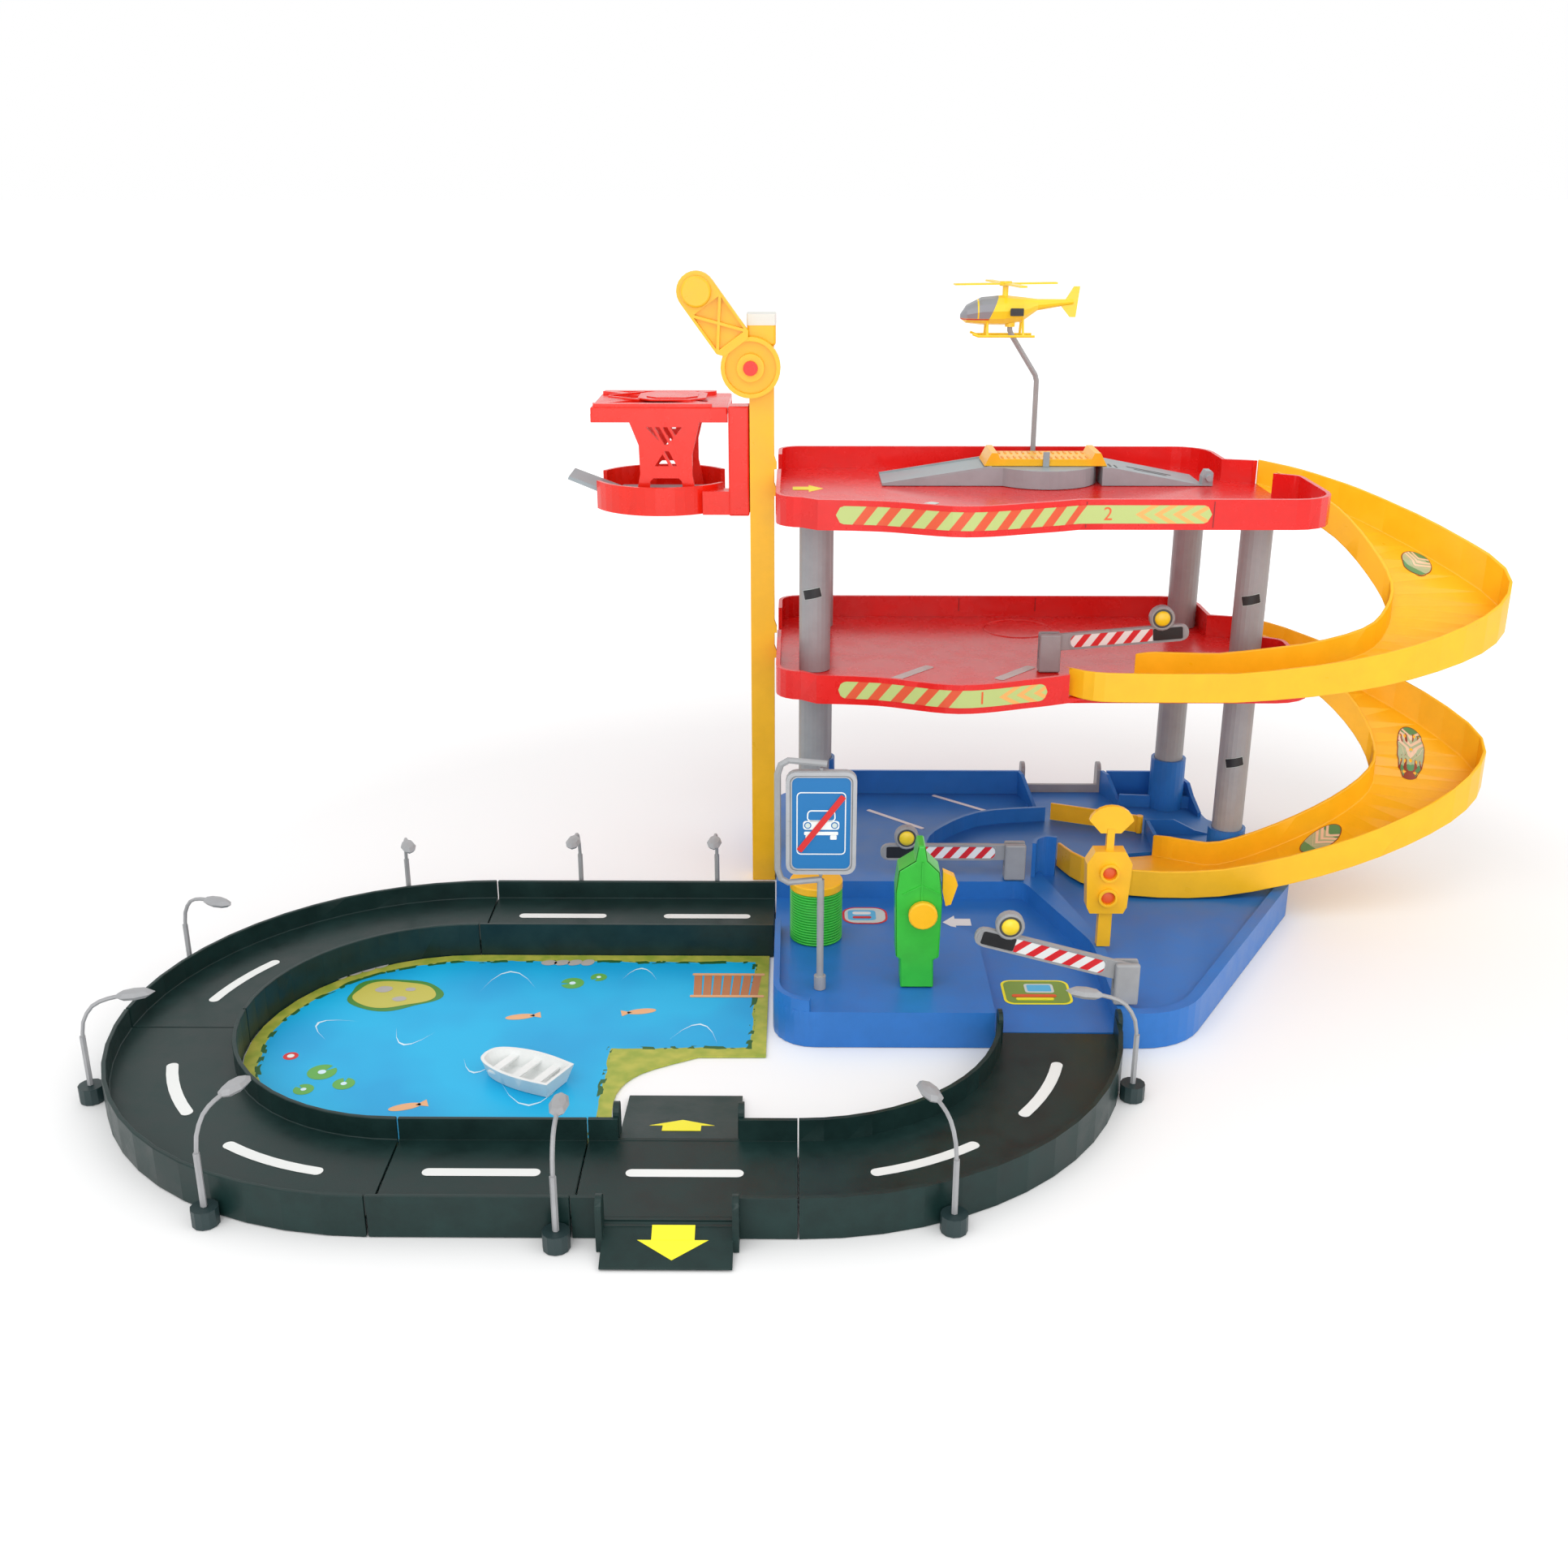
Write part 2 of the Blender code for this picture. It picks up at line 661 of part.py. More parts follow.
def base_plate():
    """The blue base: an open-bottomed moulding with the lane channel, walls and column sockets."""
    outline = base_outline()
    base = prism("base_plate", outline, 0, BASE_TOP)
    base = cut(
        base,
        prism("channel", channel_outline(), ROAD_TOP, BASE_TOP + 0.02),
        prism("recess", recess_outline(), BASE_RECESS, BASE_TOP + 0.02),
    )
    low_hollow = prism("low_hollow", offset(outline, -BASE_SKIN), -0.002, ROAD_TOP - BASE_SKIN)
    high_hollow = prism("high_hollow", offset(outline, -BASE_SKIN - STAGGER), -0.001, BASE_TOP - BASE_SKIN)
    high_hollow = cut(
        high_hollow,
        prism("under_channel", channel_outline(BASE_SKIN), -0.01, BASE_TOP),
        prism("under_recess", offset(recess_outline(), BASE_SKIN), BASE_RECESS - BASE_SKIN, BASE_TOP),
    )
    rib = box("rib", (-0.05, 0.40), (ORIGIN_Y - 0.0015, ORIGIN_Y + 0.0015), (-0.004, BASE_TOP))
    cross_rib = box("cross_rib", (0.228, 0.231), (0.12, 0.52), (-0.004, BASE_TOP))
    hollows = joined(low_hollow, high_hollow)
    hollows = cut(hollows, rib, cross_rib)
    half = 0.00125
    sink = BASE_RECESS - 0.001
    back = BASE_BACK - half - 0.0010
    walls = [
        wall("back_wall", [(BASE_LEFT + 0.012, back), (FIN_BACK_X[0], back)], half, sink, BACK_WALL_TOP),
        wall("tray_back", [(FIN_BACK_X[1] + 0.003, back), (0.279, back)], half, sink, BACK_WALL_TOP),
        wall("tray_rim", [(0.2380, 0.4615), (0.2890, 0.4570)], half, sink - 0.0006, TRAY_RIM_TOP),
        wall("arc_wall", smooth_path(ARC_WALL, 4), half, sink, ARC_WALL_TOP),
        wall("tall_wall", smooth_path(TALL_WALL, 4), half, sink, TALL_WALL_TOP),
        wall("guide_side", GUIDE_SIDE, half, sink, GUIDE_WALL_TOP - STAGGER),
        wall("left_rim", arc((BASE_LEFT + 0.024, BASE_FRONT + 0.024), 0.0221, 262, 180, 6)
             + [(BASE_LEFT + 0.0019, 0.249)], 0.0018, sink, RIM_TOP),
    ]
    start = GUIDE_SIDE[0][0] - half - STAGGER
    end = GUIDE_END
    deep = sink - STAGGER
    guide = [(start, deep), (end, deep), (end, BASE_TOP + 0.0005), (end - 0.010, BASE_TOP + 0.003),
             (start + 0.020, GUIDE_WALL_TOP), (start, GUIDE_WALL_TOP)]
    walls.append(upright("guide_back", guide, GUIDE_SIDE[0][1] - half, GUIDE_SIDE[0][1] + half))
    rear = BASE_BACK - 0.0002
    fin_top = BACK_WALL_TOP - STAGGER
    leaning = [
        (TRAY_SIDE, [
            (TRAY_SIDE[1][1], deep), (0.4800, deep), (0.4800, BACK_WALL_TOP), (0.4620, BACK_WALL_TOP),
            (0.4540, TRAY_RIM_TOP + 0.002), (TRAY_SIDE[1][1], BASE_TOP + 0.003),
        ]),
    ]
    for back_x, (front_x, front_y) in zip(FIN_BACK_X, FIN_FRONT):
        leaning.append((((back_x, rear), (front_x, front_y)),
                        [(front_y, deep), (rear, deep), (rear, fin_top), (0.4800, fin_top),
                         (front_y, BASE_TOP + 0.002)]))
    for ((back_x, back_y), (front_x, front_y)), profile in leaning:
        piece = sideways("leaning_wall", profile, -half, half)
        lean = (front_x - back_x) / (front_y - back_y)
        for point in piece.data.vertices:
            point.co.x += back_x + (point.co.y - back_y) * lean
        walls.append(piece)
    base = joined(base, *walls)
    for place, spot in COLUMN_SPOTS.items():
        top = SOCKET_TOP_FRONT if place.startswith("front") else SOCKET_TOP_BACK
        base = joined(base, rod("socket", SOCKET_RADIUS, (*spot, sink + STAGGER), (*spot, top), COLUMN_SIDES))
        base = cut(base, rod("seat", COLUMN_RADIUS + GAP, (*spot, COLUMN_SEAT), (*spot, top + 0.01),
                             COLUMN_SIDES))
    hinge = (GATE_HINGE[0], GATE_HINGE[1], BASE_TOP + 0.001)
    base = cut(base, rod("gate_hole", GATE_PIN_RADIUS + GAP, (hinge[0], hinge[1], ROAD_TOP), hinge, 12))
    base = cut(base, hollows)
    finished(base, "base_plate", "blue")


def lane_gate():
    """The yellow gate across the way to the rear ramp, on a pin at its right end."""
    low = BASE_TOP + RUNNING_GAP
    high = low + GATE_HEIGHT
    blade = prism("lane_gate", band([GATE_HINGE, GATE_END], GATE_THICK / 2), low, high)
    barrel = rod("barrel", GATE_BARREL_RADIUS, (*GATE_HINGE, low), (*GATE_HINGE, high), 16)
    pin = rod("pin", GATE_PIN_RADIUS, (*GATE_HINGE, BASE_TOP - BASE_SKIN), (*GATE_HINGE, low + 0.001), 12)
    finished(joined(blade, barrel, pin), "lane_gate", "yellow", (*GATE_HINGE, low))


def rear_ramp():
    """The grey ramp at the back opening, with two upright ears."""
    near = BASE_BACK + GAP
    far = near + 0.042
    x = (0.1715, 0.2265)
    plate = sideways(
        "rear_ramp",
        [
            (near, BASE_TOP - 0.0025), (near, BASE_TOP + 0.006), (near + 0.003, BASE_TOP + 0.006),
            (far, 0.0012), (far, 0), (far - 0.004, 0),
        ],
        *x,
    )
    ears = []
    for left, right in ((x[0] - 0.0025, x[0] + 0.0005), (x[1] - 0.0005, x[1] + 0.0025)):
        ear = rounded([(near, 0, 0), (near + 0.012, 0, 0), (near + 0.012, 0.044, 0.005),
                       (near, 0.044, 0.005)], 4)
        ears.append(sideways("ear", ear, left, right))
    finished(joined(plate, *ears), "rear_ramp", "grey")


# Decks and columns

def deck_outline():
    """The plan that both decks share, counter-clockwise from the front-left corner."""
    wave = smooth_path([(0.012, 0.2875), (0.050, 0.2830), (0.097, 0.2675), (0.142, 0.2800),
                        (0.166, 0.2895)], 6)
    rest = rounded([
        (0.180, DECK_FRONT, 0), (DECK_RIGHT, DECK_FRONT, 0.026), (DECK_RIGHT, DECK_STEP, 0.010),
        (EXIT_X, EXIT_FRONT, 0),
        (EXIT_X, EXIT_BACK + DECK_WALL, 0), (0.2860, EXIT_BACK + 0.008, 0), (0.2850, BASE_BACK, 0.024),
        (BASE_LEFT, BASE_BACK, 0.014), (BASE_LEFT, 0.2960, 0.016),
    ], 5)
    return wave + rest


def deck(name, bottom):
    """One storey: a floor with a wall round it, open to the lift and to the ramp."""
    outline = deck_outline()
    floor = bottom + DECK_FLOOR
    top = bottom + DECK_WALL_HEIGHT
    body = prism(name, outline, bottom, top)
    body = cut(body, prism("inside", offset(outline, -DECK_WALL), floor, top + 0.01))
    lift_opening = box("lift_opening", (BASE_LEFT - 0.01, BASE_LEFT + 0.006),
                       (LIFT_GATE_FRONT, LIFT_GATE_BACK),
                       (floor, top + 0.01))
    ramp_opening = box("ramp_opening", (EXIT_X - 0.020, EXIT_X + 0.005), (EXIT_FRONT, EXIT_BACK),
                       (floor, top + 0.01))
    body = cut(body, lift_opening, ramp_opening)
    if bottom < DECK_2_BOTTOM:
        body = cut(body, box("arrival", (0.1662, 0.3300), (0.2800, 0.3335), (floor, top + 0.01)))
    for spot in COLUMN_SPOTS.values():
        collar = rod("collar", SOCKET_RADIUS, (*spot, bottom - COLLAR_DEPTH), (*spot, bottom + 0.001),
                     COLUMN_SIDES)
        body = joined(body, collar)
        seat = rod("seat", COLUMN_RADIUS + GAP, (*spot, bottom - 0.02), (*spot, bottom + SEAT_SINK),
                   COLUMN_SIDES)
        body = cut(body, seat)
    return body


def column(name, spot, bottom, top):
    """A grey tube between two storeys."""
    inner = COLUMN_RADIUS - COLUMN_WALL
    profile = [(COLUMN_RADIUS, top), (COLUMN_RADIUS, bottom), (inner, bottom), (inner, top)]
    finished(turned(name, profile, spot, COLUMN_SIDES), name, "grey")


def storeys():
    """Decks and the eight columns that carry them."""
    finished(deck("deck_1", DECK_1_BOTTOM), "deck_1", "red")
    finished(deck("deck_2", DECK_2_BOTTOM), "deck_2", "red")
    for place, spot in COLUMN_SPOTS.items():
        column("lower_column_" + place, spot, COLUMN_SEAT + GAP, DECK_1_BOTTOM + SEAT_SINK - GAP)
        column("upper_column_" + place, spot, DECK_1_BOTTOM + DECK_FLOOR + GAP,
               DECK_2_BOTTOM + SEAT_SINK - GAP)


# Lift

def lift_mast():
    """The yellow rail: a channel open to the left, with hooks for the decks and a head for the crank."""
    x = (MAST_X - MAST_WIDTH / 2, MAST_X + MAST_WIDTH / 2)
    y = (MAST_Y - MAST_DEPTH / 2, MAST_Y + MAST_DEPTH / 2)
    mast = box("lift_mast", x, y, (0, MAST_TOP - 0.018))
    slot = box("slot", (x[0] + MAST_WALL, x[1] - MAST_WALL), (y[0] + MAST_WALL, y[1] + 0.01),
               (-0.01, MAST_TOP - 0.045))
    mast = cut(mast, slot)
    hooks = []
    for bottom in (DECK_1_BOTTOM, DECK_2_BOTTOM):
        for rise in (0.004, 0.021):
            height = bottom + rise
            hook = [(x[1] - 0.0005, height), (x[1] + 0.0016, height), (x[1] + 0.0016, height + 0.004),
                    (x[1] - 0.0005, height + 0.010)]
            hooks.append(upright("hook", hook, y[0], y[0] + 0.004))
    mast = joined(mast, *hooks)
    hole = rod("axle_hole", AXLE_RADIUS + PIVOT_GAP, (CRANK_X, y[0] - 0.01, CRANK_Z),
               (CRANK_X, y[1] + 0.01, CRANK_Z), 24)
    lug = box("lug", (CRANK_X - 0.0085, MAST_X), (y[0], y[0] + MAST_WALL),
              (CRANK_Z - 0.012, CRANK_Z + 0.0135), 0.0006)
    back_lug = box("lug", (CRANK_X - 0.0055, MAST_X), (y[1] - MAST_WALL, y[1]),
                   (CRANK_Z - 0.008, CRANK_Z + 0.010), 0.0006)
    mast = joined(mast, lug, back_lug)
    head = box("head", (x[0] - MAST_HEAD_LIP, x[1] + MAST_HEAD_LIP),
               (y[0] - MAST_HEAD_LIP, y[1] + MAST_HEAD_LIP),
               (MAST_TOP - 0.019, MAST_TOP), 0.0015)
    finished(joined(cut(mast, hole), head), "lift_mast", "yellow")


def crank():
    """The crank: a dished disc, a truss arm and a round end, on a red axle that holds the drum."""
    mast_face = MAST_Y - MAST_DEPTH / 2 - RUNNING_GAP
    front = mast_face - MAST_HEAD_LIP
    back = front - 0.0085
    pivot = (CRANK_X, MAST_Y, CRANK_Z)
    tip = (CRANK_X + CRANK_ARM_X, CRANK_Z + CRANK_ARM_Z)
    disc = rod("crank", CRANK_DISC_RADIUS, (pivot[0], back + 0.002, pivot[2]), (pivot[0], front, pivot[2]),
               32)
    dish = rod("dish", CRANK_DISC_RADIUS - 0.0026, (pivot[0], back, pivot[2]),
               (pivot[0], back + 0.0055, pivot[2]), 32)
    disc = cut(disc, dish)
    hub = rod("hub", 0.0085, (pivot[0], back + 0.001, pivot[2]), (pivot[0], mast_face, pivot[2]), 24)
    disc = joined(disc, hub)
    along = Vector((tip[0] - pivot[0], tip[1] - pivot[2]))
    direction = along.normalized()
    side = Vector((-direction.y, direction.x))

    def arm_point(run, across):
        point = Vector((pivot[0], pivot[2])) + direction * run + side * across
        return (point.x, point.y)

    length = along.length
    face = (back + 0.0015, front - 0.0015)
    half = CRANK_ARM_HALF
    arm = upright(
        "arm",
        [
            arm_point(0.0150, -half + 0.003), arm_point(0.0185, -half), arm_point(length, -half),
            arm_point(length, half), arm_point(0.0190, half), arm_point(0.0150, half - 0.003),
        ],
        *face,
    )
    arm = joined(arm, rod("arm_end", half, (tip[0], face[0], tip[1]), (tip[0], face[1], tip[1]), 24))
    near = CRANK_DISC_RADIUS + 0.0015
    far = length - CRANK_KNOB_RADIUS - 0.0010
    edge = half - CRANK_ARM_RIM
    middle = (near + far) / 2
    diagonal = Vector((far - near, 2 * edge)).length
    along_gap = CRANK_RIB_HALF * diagonal / (2 * edge)
    across_gap = CRANK_RIB_HALF * diagonal / (far - near)
    recesses = [
        [(near + along_gap, edge), (far - along_gap, edge), (middle, across_gap)],
        [(far - along_gap, -edge), (near + along_gap, -edge), (middle, -across_gap)],
        [(near, -edge + across_gap), (near, edge - across_gap), (middle - along_gap, 0)],
        [(far, edge - across_gap), (far, -edge + across_gap), (middle + along_gap, 0)],
    ]
    for recess in recesses:
        corners = [arm_point(*corner) for corner in recess]
        arm = cut(arm, upright("recess", corners, back - 0.002, front - 0.0035))
    knob = rod("knob", CRANK_KNOB_RADIUS, (tip[0], back - 0.0025, tip[1]), (tip[0], front - 0.001, tip[1]),
               28)
    knob = rounded_edges(knob, 0.0012, 2)
    handle = joined(disc, arm, knob)
    bore = rod("bore", AXLE_RADIUS + GAP, (pivot[0], back - 0.01, pivot[2]),
               (pivot[0], mast_face + 0.01, pivot[2]), 24)
    finished(cut(handle, bore), "crank", "yellow", pivot)
    axle_back = MAST_Y + MAST_DEPTH / 2 + RUNNING_GAP
    axle = rod("crank_axle", AXLE_RADIUS, (pivot[0], back + 0.0003, pivot[2]),
               (pivot[0], axle_back + 0.005, pivot[2]), 24)
    drum = rod("drum", 0.0052, (pivot[0], axle_back, pivot[2]), (pivot[0], axle_back + 0.007, pivot[2]), 24)
    cap = rod("cap", 0.0045, (pivot[0], back - 0.0015, pivot[2]), (pivot[0], back + 0.0007, pivot[2]), 24)
    finished(joined(axle, drum, cap), "crank_axle", "red", pivot)


def lift_hinge():
    """The tilting floor's hinge line, in X and Z: its bar lies on the tray."""
    seat = LIFT_TRAY_BOTTOM + LIFT_TRAY_FLOOR + GAP
    return LIFT_X + LIFT_FLOOR_RIGHT - LIFT_BAR_RADIUS, seat + LIFT_BAR_RADIUS


def lift_car():
    """The lift: a round tray on a slide plate, a cab with two barred sides, and a tilting floor."""
    steps = 40
    slab_left = MAST_X - MAST_WIDTH / 2 - 0.0135
    slab_right = MAST_X - MAST_WIDTH / 2 - RUNNING_GAP
    edge = [point for point in arc((LIFT_X, LIFT_Y), LIFT_RADIUS, -155, 155, steps)]
    opening_left = LIFT_X + LIFT_RADIUS * cos(radians(155))
    tray = prism("lift_tray", edge, LIFT_TRAY_BOTTOM, LIFT_TRAY_TOP)
    inside = rod("inside", LIFT_RADIUS - 0.0024, (LIFT_X, LIFT_Y, LIFT_TRAY_BOTTOM + LIFT_TRAY_FLOOR),
                 (LIFT_X, LIFT_Y, LIFT_TRAY_TOP + 0.01), 48)
    tray = cut(tray, inside)
    tray = cut(
        tray,
        box(
            "left_mouth", (LIFT_X - 0.06, opening_left + 0.004), (LIFT_Y - 0.019, LIFT_Y + 0.019),
            (LIFT_TRAY_BOTTOM + LIFT_TRAY_FLOOR, LIFT_TRAY_TOP + 0.01),
        ),
    )
    tray = cut(tray, box("right_mouth", (LIFT_X + 0.03, LIFT_X + 0.060), (LIFT_Y - 0.024, LIFT_Y + 0.026),
                         (LIFT_TRAY_BOTTOM + LIFT_TRAY_FLOOR, LIFT_TRAY_TOP + 0.01)))
    slab_z = (LIFT_TRAY_BOTTOM - 0.0006, LIFT_ROOF_TOP - 0.0005)
    behind = MAST_Y + MAST_DEPTH / 2 + RUNNING_GAP
    slab = box("slab", (slab_left, slab_right), (MAST_Y - 0.006, behind + RUNNER_THICK), slab_z, 0.001)
    half_runner = MAST_WIDTH / 2 - MAST_WALL - RUNNING_GAP
    bridge = box("bridge", (slab_right - 0.002, MAST_X + half_runner), (behind, behind + RUNNER_THICK),
                 slab_z)
    runner = box("runner", (MAST_X - half_runner, MAST_X + half_runner),
                 (MAST_Y - MAST_DEPTH / 2 + MAST_WALL + RUNNING_GAP, behind + 0.001), slab_z)
    arm = box("arm", (LIFT_X + 0.0275, slab_left + 0.004), (MAST_Y - 0.0052, MAST_Y + 0.0070),
              (LIFT_TRAY_BOTTOM, LIFT_TRAY_TOP - 0.003))
    tray = joined(tray, slab, arm, bridge, runner)
    finished(tray, "lift_tray", "red", (MAST_X, MAST_Y, LIFT_FLOOR_Z))
    finished(lift_cab(), "lift_cab", "red", (MAST_X, MAST_Y, LIFT_FLOOR_Z))
    bar_x, bar_z = lift_hinge()
    finished(lift_floor(), "lift_floor", "light_grey", (bar_x, LIFT_Y, bar_z))


def lift_side(y):
    """One hourglass side: two barred windows, one over the other, and an arch between its feet."""
    bottom = LIFT_TRAY_BOTTOM + LIFT_TRAY_FLOOR + GAP
    top = LIFT_ROOF_BOTTOM + 0.004
    x = LIFT_X + 0.004
    side = upright(
        "side",
        [
            (x - 0.021, bottom), (x + 0.021, bottom), (x + 0.0170, bottom + 0.020),
            (x + 0.0170, bottom + 0.034), (x + 0.0215, LIFT_ROOF_BOTTOM - 0.002), (x + 0.0225, top),
            (x - 0.0225, top), (x - 0.0225, top - 0.004), (x - 0.0170, bottom + 0.040),
            (x - 0.0165, bottom + 0.022),
        ],
        y - LIFT_SIDE_HALF, y + LIFT_SIDE_HALF,
    )
    reach = (y - 0.01, y + 0.01)
    high = LIFT_ROOF_BOTTOM - 0.0030
    low = LIFT_ROOF_BOTTOM - 0.0275
    upper = upright(
        "upper_window",
        [
            (x - 0.0120, high), (x - 0.0015, high - 0.0110), (x + 0.0015, high - 0.0110),
            (x + 0.0110, high),
        ],
        *reach,
    )
    lower = upright("lower_window", [(x - 0.0070, low), (x + 0.0080, low), (x + 0.0020, low + 0.0095),
                                     (x - 0.0005, low + 0.0095)], *reach)
    for window, starts, base in ((upper, (-0.0090, -0.0040, 0.0010), high),
                                 (lower, (-0.0035, 0.0015), low + 0.0095)):
        for start in starts:
            slant = [(x + start, base + 0.001), (x + start + 0.0075, base - 0.0130),
                     (x + start + 0.0095, base - 0.0130),
                     (x + start + 0.0020, base + 0.001)]
            window = cut(window, upright("bar", slant, y - 0.02, y + 0.02))
        side = cut(side, window)
    arch = upright(
        "arch",
        [
            (x - 0.0125, bottom - 0.001), (x + 0.0125, bottom - 0.001), (x + 0.0100, bottom + 0.0170),
            (x + 0.0080, bottom + 0.0190), (x - 0.0080, bottom + 0.0190), (x - 0.0100, bottom + 0.0170),
        ],
        *reach,
    )
    return cut(side, arch)


def lift_cab():
    """The cab in one moulding: two sides under a framed roof with an X of ribs on top."""
    x = (LIFT_X - 0.043, MAST_X - MAST_WIDTH / 2 - 0.014)
    y = (LIFT_Y - 0.036, LIFT_Y + 0.036)
    bottom = LIFT_ROOF_BOTTOM + 0.0043
    roof = box("lift_cab", x, y, (bottom, LIFT_ROOF_TOP - 0.002), 0.001)
    parts = [lift_side(y[0] + LIFT_SIDE_HALF), lift_side(y[1] - LIFT_SIDE_HALF)]
    for low, high in ((y[0], y[0] + 0.0014), (y[1] - 0.0014, y[1])):
        parts.append(box("skirt", x, (low, high), (LIFT_ROOF_BOTTOM, bottom + 0.001)))
    for start, end in (((x[0] + 0.003, y[0] + 0.004), (x[1] - 0.012, y[1] - 0.004)),
                       ((x[0] + 0.003, y[1] - 0.004), (x[1] - 0.012, y[0] + 0.004))):
        parts.append(prism("rib", band([start, end], 0.003), bottom + 0.001, LIFT_ROOF_TOP))
    for low, high in ((y[0] + 0.001, y[0] + 0.007), (y[1] - 0.007, y[1] - 0.001)):
        parts.append(box("cross_rib", (x[0] + 0.002, x[1] - 0.010), (low, high), (bottom, LIFT_ROOF_TOP)))
    return joined(roof, *parts)


def lift_floor():
    """The grey car platform: a tongue that slopes up at the left, and a hinge bar under its right end."""
    z = LIFT_FLOOR_Z
    under = z - LIFT_FLOOR_THICK
    left = LIFT_X - LIFT_FLOOR_LEFT
    seat = LIFT_TRAY_BOTTOM + LIFT_TRAY_FLOOR + GAP
    half = LIFT_FLOOR_HALF
    plate = box("lift_floor", (left, LIFT_X + LIFT_FLOOR_RIGHT), (LIFT_Y - half, LIFT_Y + half), (under, z))
    tongue = upright(
        "tongue",
        [
            (left - 0.001, under), (left + 0.002, under), (left + 0.002, z), (left - 0.031, z + 0.0125),
            (left - 0.032, z + 0.0105),
        ],
        LIFT_Y - 0.016, LIFT_Y + 0.016,
    )
    foot = box("foot", (left, left + 0.003), (LIFT_Y - half, LIFT_Y + half), (seat, under + 0.001))
    bar_x, bar_z = lift_hinge()
    bar = rod("bar", LIFT_BAR_RADIUS, (bar_x, LIFT_Y - half, bar_z), (bar_x, LIFT_Y + half, bar_z), 16)
    return joined(plate, tongue, foot, bar)


# Ramps

RAMP_START = EXIT_X + GAP
UPPER_OUTER = [
    (RAMP_START, EXIT_BACK, 0.266, 0.016), (0.335, 0.4240, 0.258, 0.018), (0.370, 0.4070, 0.246, 0.020),
    (0.412, 0.3740, 0.226, 0.023), (0.443, 0.3400, 0.205, 0.024), (0.432, 0.3130, 0.190, 0.023),
    (0.390, 0.2920, 0.178, 0.020), (0.335, 0.2820, 0.168, 0.018), (0.265, 0.2800, 0.1617, 0.016),
    (0.205, 0.2800, 0.1617, 0.016), (0.1800, 0.2830, 0.1617, 0.016), (0.1665, 0.2960, 0.1617, 0.015),
]
UPPER_INNER = [(RAMP_START, EXIT_FRONT), (0.320, 0.3720), (0.340, 0.3600), (0.358, 0.3470), (0.370, 0.3370),
               (0.366, 0.3290), (0.352, 0.3240), (0.315, 0.3230), (0.265, 0.3270), (0.235, 0.3290),
               (0.225, 0.3295), (0.215, 0.3295)]
LOWER_OUTER = [
    (RAMP_START, EXIT_BACK, 0.159, 0.016), (0.335, 0.4260, 0.150, 0.018), (0.375, 0.4130, 0.134, 0.020),
    (0.422, 0.3880, 0.111, 0.023), (0.452, 0.3560, 0.088, 0.024), (0.438, 0.3320, 0.072, 0.022),
    (0.395, 0.3140, 0.054, 0.019), (0.340, 0.3070, 0.0355, 0.018), (0.275, 0.3040, 0.0222, 0.017),
    (0.218, 0.3050, 0.0222, 0.016), (0.1880, 0.3260, 0.0222, 0.016), (0.1765, 0.3560, 0.0213, 0.015),
]
LOWER_INNER = [(RAMP_START, EXIT_FRONT), (0.325, 0.3790), (0.350, 0.3770), (0.372, 0.3730), (0.384, 0.3680),
               (0.380, 0.3600), (0.356, 0.3540), (0.320, 0.3520), (0.285, 0.3530), (0.265, 0.3580),
               (0.254, 0.3630), (0.2460, 0.3700)]


def ramp(name, outer, inner, steps=3):
    """A sloping lane between two rails: the outer rail carries the floor's height and its wall's height."""
    outer_path = smooth_path(outer, steps)
    inner_path = smooth_path(inner, steps)
    landing = outer[-1][2]
    rings = []
    for (ox, oy, height_above, height), (ix, iy) in zip(outer_path, inner_path):
        floor = max(height_above, landing)
        across = Vector((ix - ox, iy - oy, 0)).normalized()
        far = Vector((ox, oy, floor))
        near = Vector((ix, iy, floor))
        down = Vector((0, 0, -RAMP_FLOOR))
        up = Vector((0, 0, height))
        inner_up = Vector((0, 0, min(height, 0.017)))
        skin = across * RAMP_WALL
        rings.append([far + down, near + down, near + inner_up, near - skin + inner_up, near - skin,
                      far + skin,
                      far + skin + up, far + up])
    finished(loft(name, rings), name, "yellow")


# Small things on the base and decks

